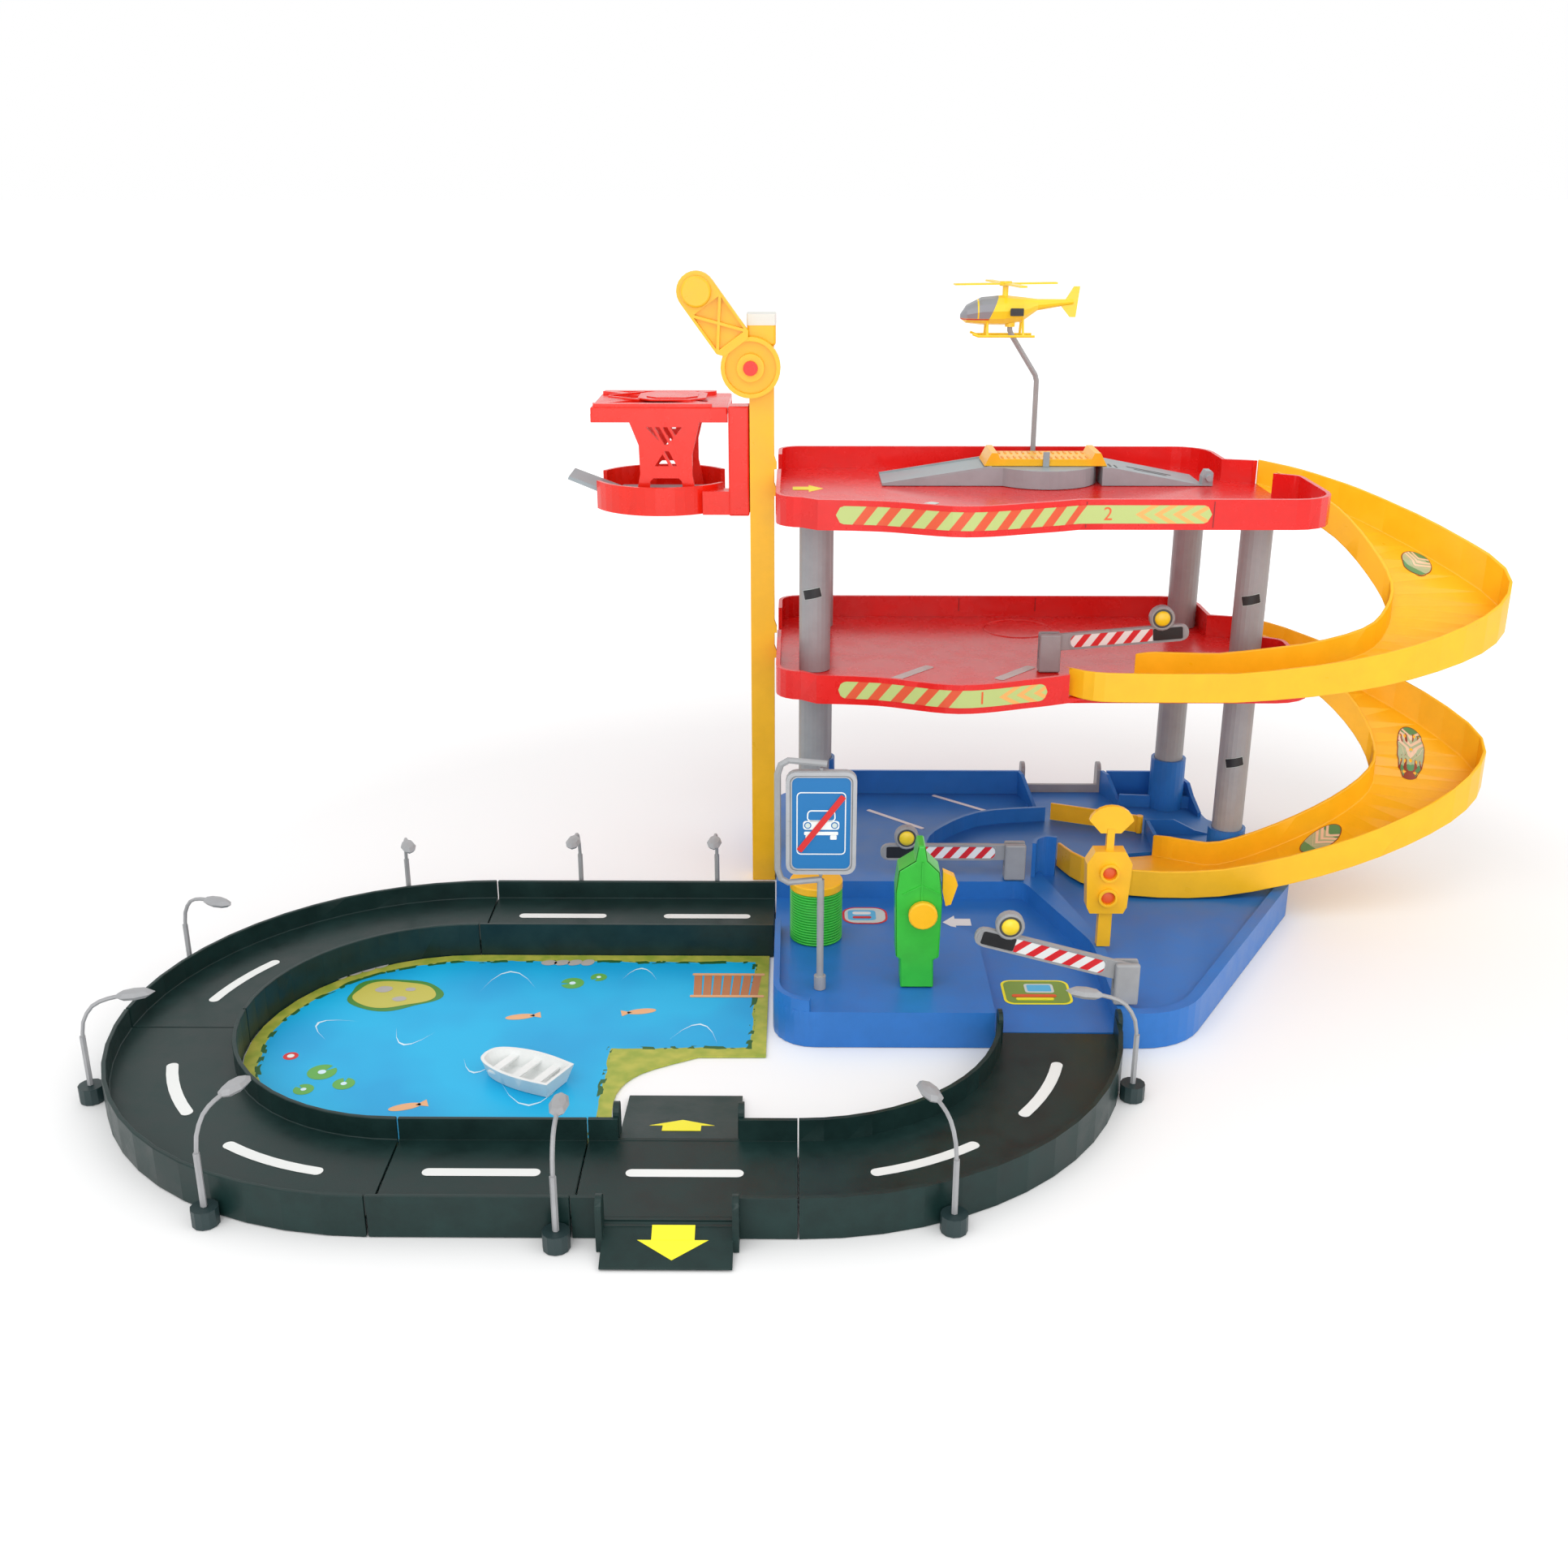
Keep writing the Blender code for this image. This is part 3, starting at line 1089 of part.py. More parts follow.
def barrier(place, floor, post_x, y, side, lift_angle):
    """A barrier: a slotted post and an arm that points to the given side, raised by some degrees."""
    top = floor + POST_HEIGHT
    post = box("barrier_post_" + place, (post_x - POST_WIDTH / 2, post_x + POST_WIDTH / 2),
               (y - POST_DEPTH / 2, y + POST_DEPTH / 2), (floor + GAP, top), 0.0012)
    slot_half = ARM_THICK / 2 + RUNNING_GAP
    pivot = (post_x, y, top - ARM_PIVOT_DROP)
    reach = POST_WIDTH
    post = cut(post, box("slot", (post_x - reach, post_x + reach), (y - slot_half, y + slot_half),
                         (top - 0.0175, top + 0.01)))
    pin = rod("pin", ARM_PIN_RADIUS, (post_x, y - POST_DEPTH / 2 + 0.001, pivot[2]),
              (post_x, y + POST_DEPTH / 2 - 0.001, pivot[2]), 12)
    post = joined(post, pin)
    finished(post, "barrier_post_" + place, "grey")
    tip = ARM_REACH - POST_WIDTH / 2
    half = ARM_HEIGHT / 2
    outline = rounded([(-0.0065, -half, 0.005), (tip, -half, 0.005), (tip, half, 0.005),
                       (-0.0065, half, 0.005)], 4)
    arm = upright("barrier_arm_" + place, outline, -ARM_THICK / 2, ARM_THICK / 2)
    light = tip - ARM_DISC_FROM_TIP
    disc = rod("disc", ARM_DISC_RADIUS, (light, -ARM_THICK / 2 - 0.0012, half + 0.005),
               (light, ARM_THICK / 2 + 0.0012, half + 0.005), 18)
    bore = rod("bore", ARM_PIN_RADIUS + GAP, (0, -0.01, 0), (0, 0.01, 0), 12)
    arm = cut(joined(arm, disc), bore)
    turn = Matrix.Rotation(radians(-lift_angle), 4, "Y")
    if side < 0:
        turn = Matrix.Rotation(pi, 4, "Z") @ turn
    arm.data.transform(Matrix.Translation(pivot) @ turn)
    finished(arm, "barrier_arm_" + place, "grey", pivot)


def traffic_light():
    """The yellow traffic light: a post, a six-sided head with two lamps and a fan on top."""
    x = TRAFFIC_LIGHT_X
    y = TRAFFIC_LIGHT_Y
    foot = BASE_TOP + GAP
    floor = BASE_TOP + TRAFFIC_LIGHT_LIFT
    post = box("traffic_light", (x - 0.004, x + 0.004), (y - 0.003, y + 0.003), (foot, floor + 0.030))
    head = upright(
        "head",
        [
            (x - 0.010, floor + 0.020), (x + 0.010, floor + 0.020), (x + 0.012, floor + 0.024),
            (x + 0.0135, floor + 0.052), (x + 0.009, floor + 0.060), (x - 0.009, floor + 0.060),
            (x - 0.0135, floor + 0.052), (x - 0.012, floor + 0.024),
        ],
        y - 0.005, y + 0.005,
    )
    lamps = []
    for height in (0.031, 0.047):
        lamps.append(rod("lamp", 0.0058, (x, y - 0.008, floor + height), (x, y - 0.003, floor + height), 20))
    neck = box("neck", (x - 0.0022, x + 0.0022), (y - 0.0022, y + 0.0022), (floor + 0.058, floor + 0.0735))
    fan_base = floor + FAN_FOOT
    turns = [radians(170 - 160 * step / 10) for step in range(11)]
    crown = [(x + FAN_HALF_WIDTH * cos(turn), fan_base + 0.006 + FAN_HALF_HEIGHT * sin(turn)) for turn in turns]
    fan_outline = [(x - 0.006, fan_base), *crown, (x + 0.006, fan_base)]
    fan = upright("fan", fan_outline, y - 0.0018, y + 0.0018)
    light = joined(post, head, *lamps, neck, fan)
    for height in (0.031, 0.047):
        light = cut(light, rod("eye", 0.0042, (x, y - 0.02, floor + height),
                               (x, y - 0.0055, floor + height), 20))
    finished(light, "traffic_light", "yellow")


def pump():
    """The green petrol pump with its yellow knob and nozzle."""
    x = PUMP_X
    y = PUMP_Y
    floor = BASE_TOP + GAP
    thick = 0.0085
    outline = [(x - 0.0100, floor), (x + 0.0090, floor), (x + 0.0085, floor + 0.0175),
               (x + 0.0115, floor + 0.019),
               (x + 0.0125, floor + 0.055), (x + 0.0105, floor + 0.072), (x + 0.0035, floor + 0.079),
               (x + 0.0020, floor + 0.088), (x - 0.0020, floor + 0.088), (x - 0.0035, floor + 0.079),
               (x - 0.0125, floor + 0.073), (x - 0.0140, floor + 0.060), (x - 0.0130, floor + 0.0195),
               (x - 0.0105, floor + 0.0180)]
    body = upright("pump_body", outline, y - thick, y + thick)
    finished(rounded_edges(body, 0.0007, 1), "pump_body", "green")
    knob_z = floor + 0.0470
    knob = rod("pump_knob", 0.0082, (x + 0.0015, y - thick - GAP - 0.0045, knob_z),
               (x + 0.0015, y - thick - GAP, knob_z), 20)
    finished(rounded_edges(knob, 0.0008, 1), "pump_knob", "yellow", (x + 0.0015, y - thick - GAP, knob_z))
    left = x + 0.0125 + GAP
    nozzle = upright("pump_nozzle", [
        (left, floor + 0.070), (left + 0.0065, floor + 0.067), (left + 0.0085, floor + 0.062),
        (left + 0.0050, floor + 0.050), (left + 0.0020, floor + 0.049), (left, floor + 0.058),
    ], y - 0.003, y + 0.003)
    finished(nozzle, "pump_nozzle", "yellow")


def road_sign():
    """The sign: a C-shaped tube on a post, and a framed panel that swivels in it."""
    x = SIGN_X
    y = SIGN_Y
    floor = BASE_TOP + GAP
    low = floor + SIGN_LOW
    high = floor + SIGN_HIGH
    left = x - 0.0240
    post = rod("post", 0.0034, (x, y, floor), (x, y, floor + 0.008), 16)
    pole = rod("pole", 0.0020, (x, y, floor + 0.006), (x, y, low), 16)
    bow = [(x + 0.0008, y, low), (left + 0.006, y, low - 0.002), (left + 0.0018, y, low + 0.0005),
           (left, y, low + 0.006), (left, y, high - 0.006), (left + 0.0018, y, high - 0.0005),
           (left + 0.006, y, high + 0.002), (x + 0.003, y, high)]
    bracket = tube("bow", bow, 0.0019, 2)
    finished(joined(bracket, pole, post), "sign_post", "grey")
    inner_low = low + 0.0036
    inner_high = high - 0.0036
    width = 0.0195
    centre = x
    frame = upright("sign_panel", rounded([
        (centre - width, inner_low, 0.006), (centre + width, inner_low, 0.006),
        (centre + width, inner_high, 0.006), (centre - width, inner_high, 0.006),
    ], 4), y - 0.0016, y + 0.0016)
    pins = [
        rod("low_pin", 0.0010, (x, y, low + 0.0019 + GAP), (x, y, inner_low + 0.001), 12),
        rod("high_pin", 0.0010, (x, y, inner_high - 0.001), (x, y, high - 0.0019 - GAP), 12),
    ]
    finished(joined(frame, *pins), "sign_panel", "blue", (x, y, (low + high) / 2))


def roller():
    """The green ribbed drum with a flat cap, by the track's end."""
    spot = ROLLER_SPOT
    floor = BASE_TOP + GAP
    ribs = 9
    height = ROLLER_HEIGHT
    radius = ROLLER_RADIUS
    profile = [(0, floor + height + 0.002), (0.0125, floor + height + 0.002), (0.0125, floor + height)]
    for rib in range(ribs):
        top = floor + height - rib * height / ribs
        pitch = height / ribs
        profile += [(radius - 0.0007, top), (radius, top - pitch * 0.25), (radius, top - pitch * 0.75)]
    profile += [(radius - 0.0007, floor), (0, floor)]
    mesh_roller = turned("roller", profile, spot, 16)
    finished(mesh_roller, "roller", "green", (*spot, floor))


def turntable():
    """The turntable on the top deck: a round base with a lead-on ramp, a platform and a launch ramp."""
    floor = DECK_2_BOTTOM + DECK_FLOOR + GAP
    x = TURNTABLE_X
    y = TURNTABLE_Y
    radius = 0.0360
    top = floor + 0.0120
    base = rod("turntable_base", radius, (x, y, floor), (x, y, top), 40)
    lead = upright("lead", [(x - 0.108, floor), (x - 0.020, floor), (x - 0.020, top), (x - 0.036, top),
                            (x - 0.108, floor + 0.0006)], y - 0.0220, y + 0.0220)
    spindle = rod("spindle", 0.0040, (x, y, top - 0.001), (x, y, top + 0.0035), 20)
    finished(joined(base, lead, spindle), "turntable_base", "light_grey")
    seat = top + GAP
    half = 0.0175
    plate = upright("turntable", [(x - 0.0405, seat), (x + 0.0405, seat), (x + 0.0360, seat + 0.0085),
                                  (x + 0.0320, seat + 0.0085), (x + 0.0300, seat + 0.0045),
                                  (x - 0.0300, seat + 0.0045), (x - 0.0320, seat + 0.0085),
                                  (x - 0.0360, seat + 0.0085)], y - half, y + half)
    hole = rod("hole", 0.0040 + GAP, (x, y, seat - 0.01), (x, y, seat + 0.0033), 20)
    finished(cut(plate, hole), "turntable", "yellow", (x, y, seat))
    left = x + radius + 0.0012
    launch = upright("launch_ramp", [(left, floor), (left + 0.067, floor), (left + 0.067, floor + 0.0005),
                                     (left + 0.0640, floor + 0.0010), (left + 0.006, top), (left, top)],
                     y - 0.0210, y + 0.0210)
    end = left + 0.067
    stop = upright("stop", [(end - 0.001, floor), (end + 0.0060, floor), (end + 0.0060, floor + 0.0085),
                            (end + 0.0045, floor + 0.0100), (end + 0.0010, floor + 0.0100),
                            (end - 0.001, floor + 0.0060)], y - 0.0210, y - 0.0120)
    pin = rod("launch_knob", 0.0022, (end + 0.0028, y - 0.0245, floor + 0.0055),
              (end + 0.0028, y - 0.0200, floor + 0.0055), 16)
    finished(joined(launch, stop, pin), "launch_ramp", "light_grey")


def helicopter():
    """The helicopter on its bent rod behind the turntable."""
    floor = DECK_2_BOTTOM + DECK_FLOOR + GAP
    x = TURNTABLE_X
    y = TURNTABLE_Y + 0.0465
    low = floor + 0.064
    body_x = x - 0.0200
    body_z = 0.3725
    joint_z = body_z - 0.0095
    points = [(x, y, floor), (x, y, low - 0.004), (x - 0.0012, y, low)]
    points += [(body_x + 0.0012, y, joint_z - 0.0060), (body_x, y, joint_z - 0.0030),
               (body_x, y, joint_z + 0.0030)]
    finished(tube("heli_rod", points, 0.0018, 2), "heli_rod", "grey")
    rings = []
    stations = [
        (-0.034, 0.0015, 0.0015, -0.0035), (-0.030, 0.0075, 0.0060, -0.0020),
        (-0.020, 0.0105, 0.0090, 0.0), (-0.005, 0.0115, 0.0098, 0.0005),
        (0.008, 0.0090, 0.0080, 0.0010), (0.018, 0.0040, 0.0038, 0.0040),
        (0.036, 0.0025, 0.0022, 0.0055), (0.042, 0.0020, 0.0018, 0.0060),
    ]
    for along, half_width, half_height, rise in stations:
        ring = []
        for step in range(12):
            turn = 2 * pi * step / 12
            ring.append((body_x + along, y + half_width * cos(turn), body_z + rise + half_height * sin(turn)))
        rings.append(ring)
    body = loft("heli_body", rings)
    fin = upright("fin", [(body_x + 0.034, body_z + 0.003), (body_x + 0.040, body_z - 0.004),
                          (body_x + 0.044, body_z - 0.004), (body_x + 0.046, body_z + 0.016),
                          (body_x + 0.042, body_z + 0.016)], y - 0.0010, y + 0.0010)
    mast = rod("mast", 0.0020, (body_x - 0.004, y, body_z + 0.0085), (body_x - 0.004, y, body_z + 0.0160), 16)
    socket = rod("socket", 0.0034, (body_x, y, joint_z - 0.0008), (body_x, y, body_z - 0.004), 20)
    body = joined(body, fin, mast, socket)
    body = cut(body, rod("bore", 0.0018 + GAP, (body_x, y, joint_z - 0.01), (body_x, y, joint_z + 0.0034),
                         16))
    skids = []
    for side in (-1, 1):
        across = y + side * 0.0088
        skid = tube(
            "skid",
            [
                (body_x - 0.026, across, body_z - 0.0145), (body_x - 0.022, across, body_z - 0.0160),
                (body_x + 0.016, across, body_z - 0.0160),
            ],
            0.0009, 1,
        )
        strut_front = tube(
            "strut",
            [
                (body_x - 0.016, across, body_z - 0.0160),
                (body_x - 0.016, y + side * 0.005, body_z - 0.0060),
            ],
            0.0009, 1,
        )
        strut_back = tube(
            "strut",
            [
                (body_x + 0.008, across, body_z - 0.0160),
                (body_x + 0.008, y + side * 0.004, body_z - 0.0040),
            ],
            0.0009, 1,
        )
        skids += [skid, strut_front, strut_back]
    body = joined(body, *skids)
    finished(body, "heli_body", "yellow", (body_x, y, body_z))
    hub_z = body_z + 0.0160 + GAP
    spot = (body_x - 0.004, y)
    hub = rod("heli_rotor", 0.0042, (*spot, hub_z), (*spot, hub_z + 0.0030), 20)
    blades = []
    for index in range(4):
        blade = box("blade", (0.002, 0.036), (-0.0026, 0.0026), (hub_z + 0.0008, hub_z + 0.0020))
        blade.data.transform(
            Matrix.Translation((*spot, 0)) @ Matrix.Rotation(radians(12 + 90 * index), 4, "Z")
        )
        blades.append(blade)
    finished(joined(hub, *blades), "heli_rotor", "yellow", (*spot, hub_z))


# Round the loop

def lamp_mesh():
    """A street lamp at the origin, leaning over +X: clip foot, pole, thin arm and oval head."""
    foot = rod("lamp", LAMP_FOOT_RADIUS, (0, 0, 0), (0, 0, LAMP_FOOT_HEIGHT), 12)
    pole = rod("pole", LAMP_POLE_RADIUS, (0, 0, LAMP_FOOT_HEIGHT - 0.001), (0, 0, LAMP_POLE_TOP), 6)
    bend = smooth_path([(0, 0, LAMP_POLE_TOP - 0.003), (0.0015, 0, LAMP_POLE_TOP + 0.008),
                        (0.0070, 0, LAMP_POLE_TOP + 0.0165), (0.0150, 0, LAMP_HEIGHT - 0.0005),
                        (LAMP_REACH - 0.006, 0, LAMP_HEIGHT)], 2)
    thin_arm = tube("arm", bend, LAMP_ARM_RADIUS, 1)
    head = ball("head", (LAMP_REACH, 0, LAMP_HEIGHT), (0.0105, 0.0048, 0.0028), 8)
    return joined(foot, pole, thin_arm, head)


def lamps():
    """Nine lamps outside the loop's wall, each leaning over the road."""
    stand_off = LANE_HALF + LAMP_FOOT_RADIUS + GAP
    left = (LEFT_JOINT_X, CURVE_RADIUS)
    right = (RIGHT_JOINT_X, CURVE_RADIUS)
    reach = CURVE_RADIUS + stand_off
    back_y = 2 * CURVE_RADIUS + stand_off
    spots = [(-0.1430, back_y, -90), (-0.0525, back_y, -90)]
    for angle in (108.5, 156, 199, 245):
        spots.append((left[0] + reach * cos(radians(angle)), left[1] + reach * sin(radians(angle)),
                      angle + 180))
    spots.append((FRONT_SPLIT_X - 0.006, -stand_off, 90))
    for angle in (293, 343):
        spots.append((right[0] + reach * cos(radians(angle)), right[1] + reach * sin(radians(angle)),
                      angle + 180))
    pattern = lamp_mesh()
    mesh = pattern.data
    bpy.data.objects.remove(pattern)
    for index, (x, y, heading) in enumerate(spots):
        lamp = linked("street_lamp", mesh.copy())
        lamp.data.transform(Matrix.Translation((x, y, 0)) @ Matrix.Rotation(radians(heading), 4, "Z"))
        finished(lamp, "street_lamp_" + str(index + 1), "grey")


def lake():
    """The printed mat inside the loop, and the rowing boat on it."""
    edge = LANE_HALF + 0.0008
    inner = CURVE_RADIUS - edge
    centre = (LEFT_JOINT_X, CURVE_RADIUS)
    cut_edge = smooth_path([(-0.0950, 0.0600), (-0.0955, 0.0907), (-0.0840, 0.1124), (-0.0540, 0.1300)], 4)
    mat = arc(centre, inner, 90, 270, 20) + [(-0.0950, edge)] + cut_edge
    mat += [(MAT_RIGHT, 0.1305), (MAT_RIGHT, 2 * CURVE_RADIUS - edge)]
    thick = 0.0012
    finished(prism("lake_mat", mat, 0, thick), "lake_mat", "print")
    finished(boat(thick + GAP), "boat", "white")


def boat(keel):
    """The white rowing boat: a hollow hull with a round bow, a square stern and three benches."""
    outline = smooth_path([(-BOAT_LENGTH / 2, 0), (-0.0235, 0.0060), (-0.0170, 0.0105), (-0.0040, 0.0138),
                           (0.0100, 0.0142), (BOAT_LENGTH / 2, 0.0125)], 3)
    half = outline[::-1] + [(px, -py) for px, py in outline[1:]]
    low = [(px * 0.88, py * 0.72) for px, py in half]
    rim = BOAT_RIM
    hull = loft("boat", [[(px, py, keel) for px, py in low], [(px, py, rim) for px, py in half]])
    inside_low = [(px * 0.80, py * 0.60) for px, py in half]
    inside_top = [(px * 0.94, py * 0.89) for px, py in half]
    inside = loft("inside", [[(px, py, keel + 0.0016) for px, py in inside_low],
                             [(px, py, rim + 0.001) for px, py in inside_top]])
    hull = cut(hull, inside)
    for along in (-0.0120, 0.0020, 0.0150):
        hull = joined(hull, box("bench", (along - 0.0024, along + 0.0024), (-0.0118, 0.0118),
                                (rim - 0.0038, rim - 0.0026)))
    hull.data.transform(Matrix.Translation((*BOAT_SPOT, 0)) @ Matrix.Rotation(radians(BOAT_TURN), 4, "Z"))
    return hull


track_pieces()
junction_ramps()
base_plate()
lane_gate()
rear_ramp()
storeys()
lift_mast()
crank()
lift_car()
ramp("upper_ramp", UPPER_OUTER, UPPER_INNER)
ramp("lower_ramp", LOWER_OUTER, LOWER_INNER)
barrier("level_1", DECK_1_BOTTOM + DECK_FLOOR, *LEVEL_1_BARRIER, 1, 5)
barrier("base_rear", BASE_TOP, *BASE_REAR_BARRIER, -1, 0)
barrier("base_front", BASE_TOP, *BASE_FRONT_BARRIER, -1, 15)
traffic_light()
pump()
road_sign()
roller()
turntable()
helicopter()
lamps()
lake()

shift = Vector((-ORIGIN_X, -ORIGIN_Y, 0))
for piece in garage.objects:
    if piece.location.length:
        piece.location += shift
    else:
        piece.data.transform(Matrix.Translation(shift))
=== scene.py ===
# %% [markdown]
# # A toy parking garage with a track loop
#
# The set is nearly all injection-moulded plastic: a blue base, two red decks on grey columns, yellow
# ramps and a dark track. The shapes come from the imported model. This script gives each plastic its
# own finish and adds what is printed, glued or clipped on: stripes, road marks, lamps, stickers and
# the picture on the mat.

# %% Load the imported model
import json
import math
from functools import partial
from math import cos, pi, radians, sin

import bpy
from mathutils import Matrix, Vector

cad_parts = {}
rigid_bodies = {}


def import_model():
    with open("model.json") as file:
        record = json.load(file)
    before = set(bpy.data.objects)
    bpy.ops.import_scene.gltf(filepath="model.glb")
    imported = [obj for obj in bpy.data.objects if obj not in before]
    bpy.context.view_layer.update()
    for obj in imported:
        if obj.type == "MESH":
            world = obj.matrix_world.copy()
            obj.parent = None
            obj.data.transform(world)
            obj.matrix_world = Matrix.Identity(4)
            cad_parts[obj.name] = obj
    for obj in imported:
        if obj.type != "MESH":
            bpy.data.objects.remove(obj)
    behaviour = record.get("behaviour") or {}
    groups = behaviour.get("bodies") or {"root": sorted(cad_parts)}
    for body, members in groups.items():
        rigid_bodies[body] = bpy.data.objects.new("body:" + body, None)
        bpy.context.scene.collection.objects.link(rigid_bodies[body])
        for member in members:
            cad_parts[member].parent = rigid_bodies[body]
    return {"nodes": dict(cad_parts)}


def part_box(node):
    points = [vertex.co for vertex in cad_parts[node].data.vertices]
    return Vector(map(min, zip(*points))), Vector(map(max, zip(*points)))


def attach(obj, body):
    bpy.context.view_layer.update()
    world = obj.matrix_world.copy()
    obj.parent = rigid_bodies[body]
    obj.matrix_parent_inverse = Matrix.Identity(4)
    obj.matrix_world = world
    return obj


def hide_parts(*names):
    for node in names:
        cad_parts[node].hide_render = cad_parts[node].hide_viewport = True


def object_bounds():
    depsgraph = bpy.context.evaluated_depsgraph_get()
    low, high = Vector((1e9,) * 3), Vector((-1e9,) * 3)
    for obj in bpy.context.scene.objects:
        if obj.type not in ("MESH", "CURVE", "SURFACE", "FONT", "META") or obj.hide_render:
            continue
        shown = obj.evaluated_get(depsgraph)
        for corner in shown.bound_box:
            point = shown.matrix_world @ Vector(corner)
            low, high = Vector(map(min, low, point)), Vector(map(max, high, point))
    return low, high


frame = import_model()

cad_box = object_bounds()
scene = bpy.context.scene
nodes = frame["nodes"]
low_corner, high_corner = (tuple(round(v, 3) for v in corner) for corner in cad_box)
print(len(nodes), "solids, from", low_corner, "to", high_corner)

# %% [markdown]
# ## The camera
#
# A camera was fitted to the photograph: the circles of the loop give its tilt, and the height of the
# storeys gives its distance. It looks down by about 20 degrees and stands a metre in front.

# %% Camera
CAMERA_PLACE = (-0.155, -0.980114, 0.460)
CAMERA_TILT = radians(20.538)
CAMERA_TURN = radians(0.466)
CAMERA_LENS = 37.456

bpy.ops.object.camera_add(location=CAMERA_PLACE, rotation=(pi / 2 - CAMERA_TILT, 0, CAMERA_TURN))
camera = bpy.context.object
camera.name = "photo_camera"
camera.data.lens = CAMERA_LENS
camera.data.sensor_width = 36
scene.camera = camera
scene.view_settings.view_transform = "Standard"
PRINT_THICKNESS = 0.00012
print("camera looks down by", round(math.degrees(CAMERA_TILT), 1), "degrees")

# %% [markdown]
# ## Helpers for modelling
#
# An operator works on what is selected and active. Each helper below clears the selection first, so
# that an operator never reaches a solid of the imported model. A finished piece has its place in its
# mesh, and its object sits at the origin.

# %% Helpers for modelling
def only(obj):
    """Select one object alone and make it active."""
    if bpy.context.object and bpy.context.object.mode != "OBJECT":
        bpy.ops.object.mode_set(mode="OBJECT")
    bpy.ops.object.select_all(action="DESELECT")
    obj.select_set(True)
    bpy.context.view_layer.objects.active = obj


def clear():
    """Select nothing."""
    if bpy.context.object and bpy.context.object.mode != "OBJECT":
        bpy.ops.object.mode_set(mode="OBJECT")
    bpy.ops.object.select_all(action="DESELECT")


def settle(obj):
    """Write an object's place, turn and size into its mesh."""
    only(obj)
    bpy.ops.object.transform_apply(location=True, rotation=True, scale=True)


def apply_all(obj):
    """Apply every modifier of an object, in order."""
    only(obj)
    for name in [modifier.name for modifier in obj.modifiers]:
        bpy.ops.object.modifier_apply(modifier=name)


def done(obj, name, material, body="garage"):
    """Name a piece, give it its finish and let it ride on a body."""
    settle(obj)
    obj.name = name
    obj.data.name = name
    obj.data.materials.clear()
    obj.data.materials.append(material)
    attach(obj, body)
    return obj


def how_many(*starts):
    """How many objects have a name that starts with one of these words."""
    return len([obj for obj in bpy.data.objects if obj.name.startswith(starts)])


def merged(objects):
    """Join several objects into the first."""
    clear()
    for obj in objects:
        obj.select_set(True)
    bpy.context.view_layer.objects.active = objects[0]
    bpy.ops.object.join()
    return bpy.context.object


def edit_all(obj):
    """Open an object in edit mode with its whole mesh selected."""
    only(obj)
    bpy.ops.object.mode_set(mode="EDIT")
    bpy.ops.mesh.select_all(action="SELECT")


def pushed_up(thickness):
    """In edit mode: extrude the flat selection up, and turn every face outwards."""
    bpy.ops.mesh.extrude_region_move(TRANSFORM_OT_translate={"value": (0, 0, thickness)})
    bpy.ops.mesh.select_all(action="SELECT")
    bpy.ops.mesh.normals_make_consistent(inside=False)


def start_plate(width, height, corner=0.0, thickness=0.0, segments=6):
    """A flat plate at the origin: a plane with rounded corners, extruded up if it has a thickness."""
    clear()
    bpy.ops.mesh.primitive_plane_add(size=1)
    plate = bpy.context.object
    plate.scale = (width, height, 1)
    settle(plate)
    edit_all(plate)
    if corner:
        bpy.ops.mesh.bevel(affect="VERTICES", offset=corner, segments=segments)
        bpy.ops.mesh.select_all(action="SELECT")
    if thickness:
        pushed_up(thickness)
    bpy.ops.object.mode_set(mode="OBJECT")
    return plate


def start_disc(radius, thickness=0.0, segments=32):
    """A flat disc at the origin, extruded up if it has a thickness."""
    clear()
    bpy.ops.mesh.primitive_circle_add(vertices=segments, radius=radius, fill_type="NGON")
    disc = bpy.context.object
    if thickness:
        edit_all(disc)
        pushed_up(thickness)
        bpy.ops.object.mode_set(mode="OBJECT")
    return disc


def place(obj, location=(0, 0, 0), rotation=(0, 0, 0)):
    """Move and turn an object, and write that into its mesh."""
    obj.location = location
    obj.rotation_euler = rotation
    settle(obj)
    return obj


def move_points(obj, rule):
    """Move every point of a mesh by a rule that takes and gives a place."""
    for vertex in obj.data.vertices:
        vertex.co = rule(vertex.co.copy())
    obj.data.update()
    return obj


def divided(obj, cuts):
    """Cut every edge of a mesh into more pieces."""
    edit_all(obj)
    bpy.ops.mesh.subdivide(number_cuts=cuts)
    bpy.ops.object.mode_set(mode="OBJECT")
    return obj


# %% [markdown]
# ## Plastic
#
# Moulded plastic is never quite flat: it has a fine grain from the mould and very shallow waves where
# it shrank. The node group below puts out a height for a Bump node and a mask that makes the gloss
# uneven. It is built once and each plastic sets its own sizes.

# %% The moulded skin group
def new_group(name, inputs, outputs):
    """A node group with named number inputs and outputs: it, its nodes, its links and its two ends."""
    group = bpy.data.node_groups.new(name, "ShaderNodeTree")
    for word, value in inputs:
        made = group.interface.new_socket(name=word, in_out="INPUT", socket_type="NodeSocketFloat")
        made.default_value = value
    for word in outputs:
        group.interface.new_socket(name=word, in_out="OUTPUT", socket_type="NodeSocketFloat")
    tree = group.nodes
    given = tree.new("NodeGroupInput").outputs
    put = tree.new("NodeGroupOutput").inputs
    return group, tree, group.links.new, given, put


def noise(tree, link, vector, detail, scale=None):
    """A Noise node fed by a place, with a fixed scale if one is given."""
    node = tree.new("ShaderNodeTexNoise")
    node.inputs["Detail"].default_value = detail
    if scale is not None:
        node.inputs["Scale"].default_value = scale
    link(vector, node.inputs["Vector"])
    return node


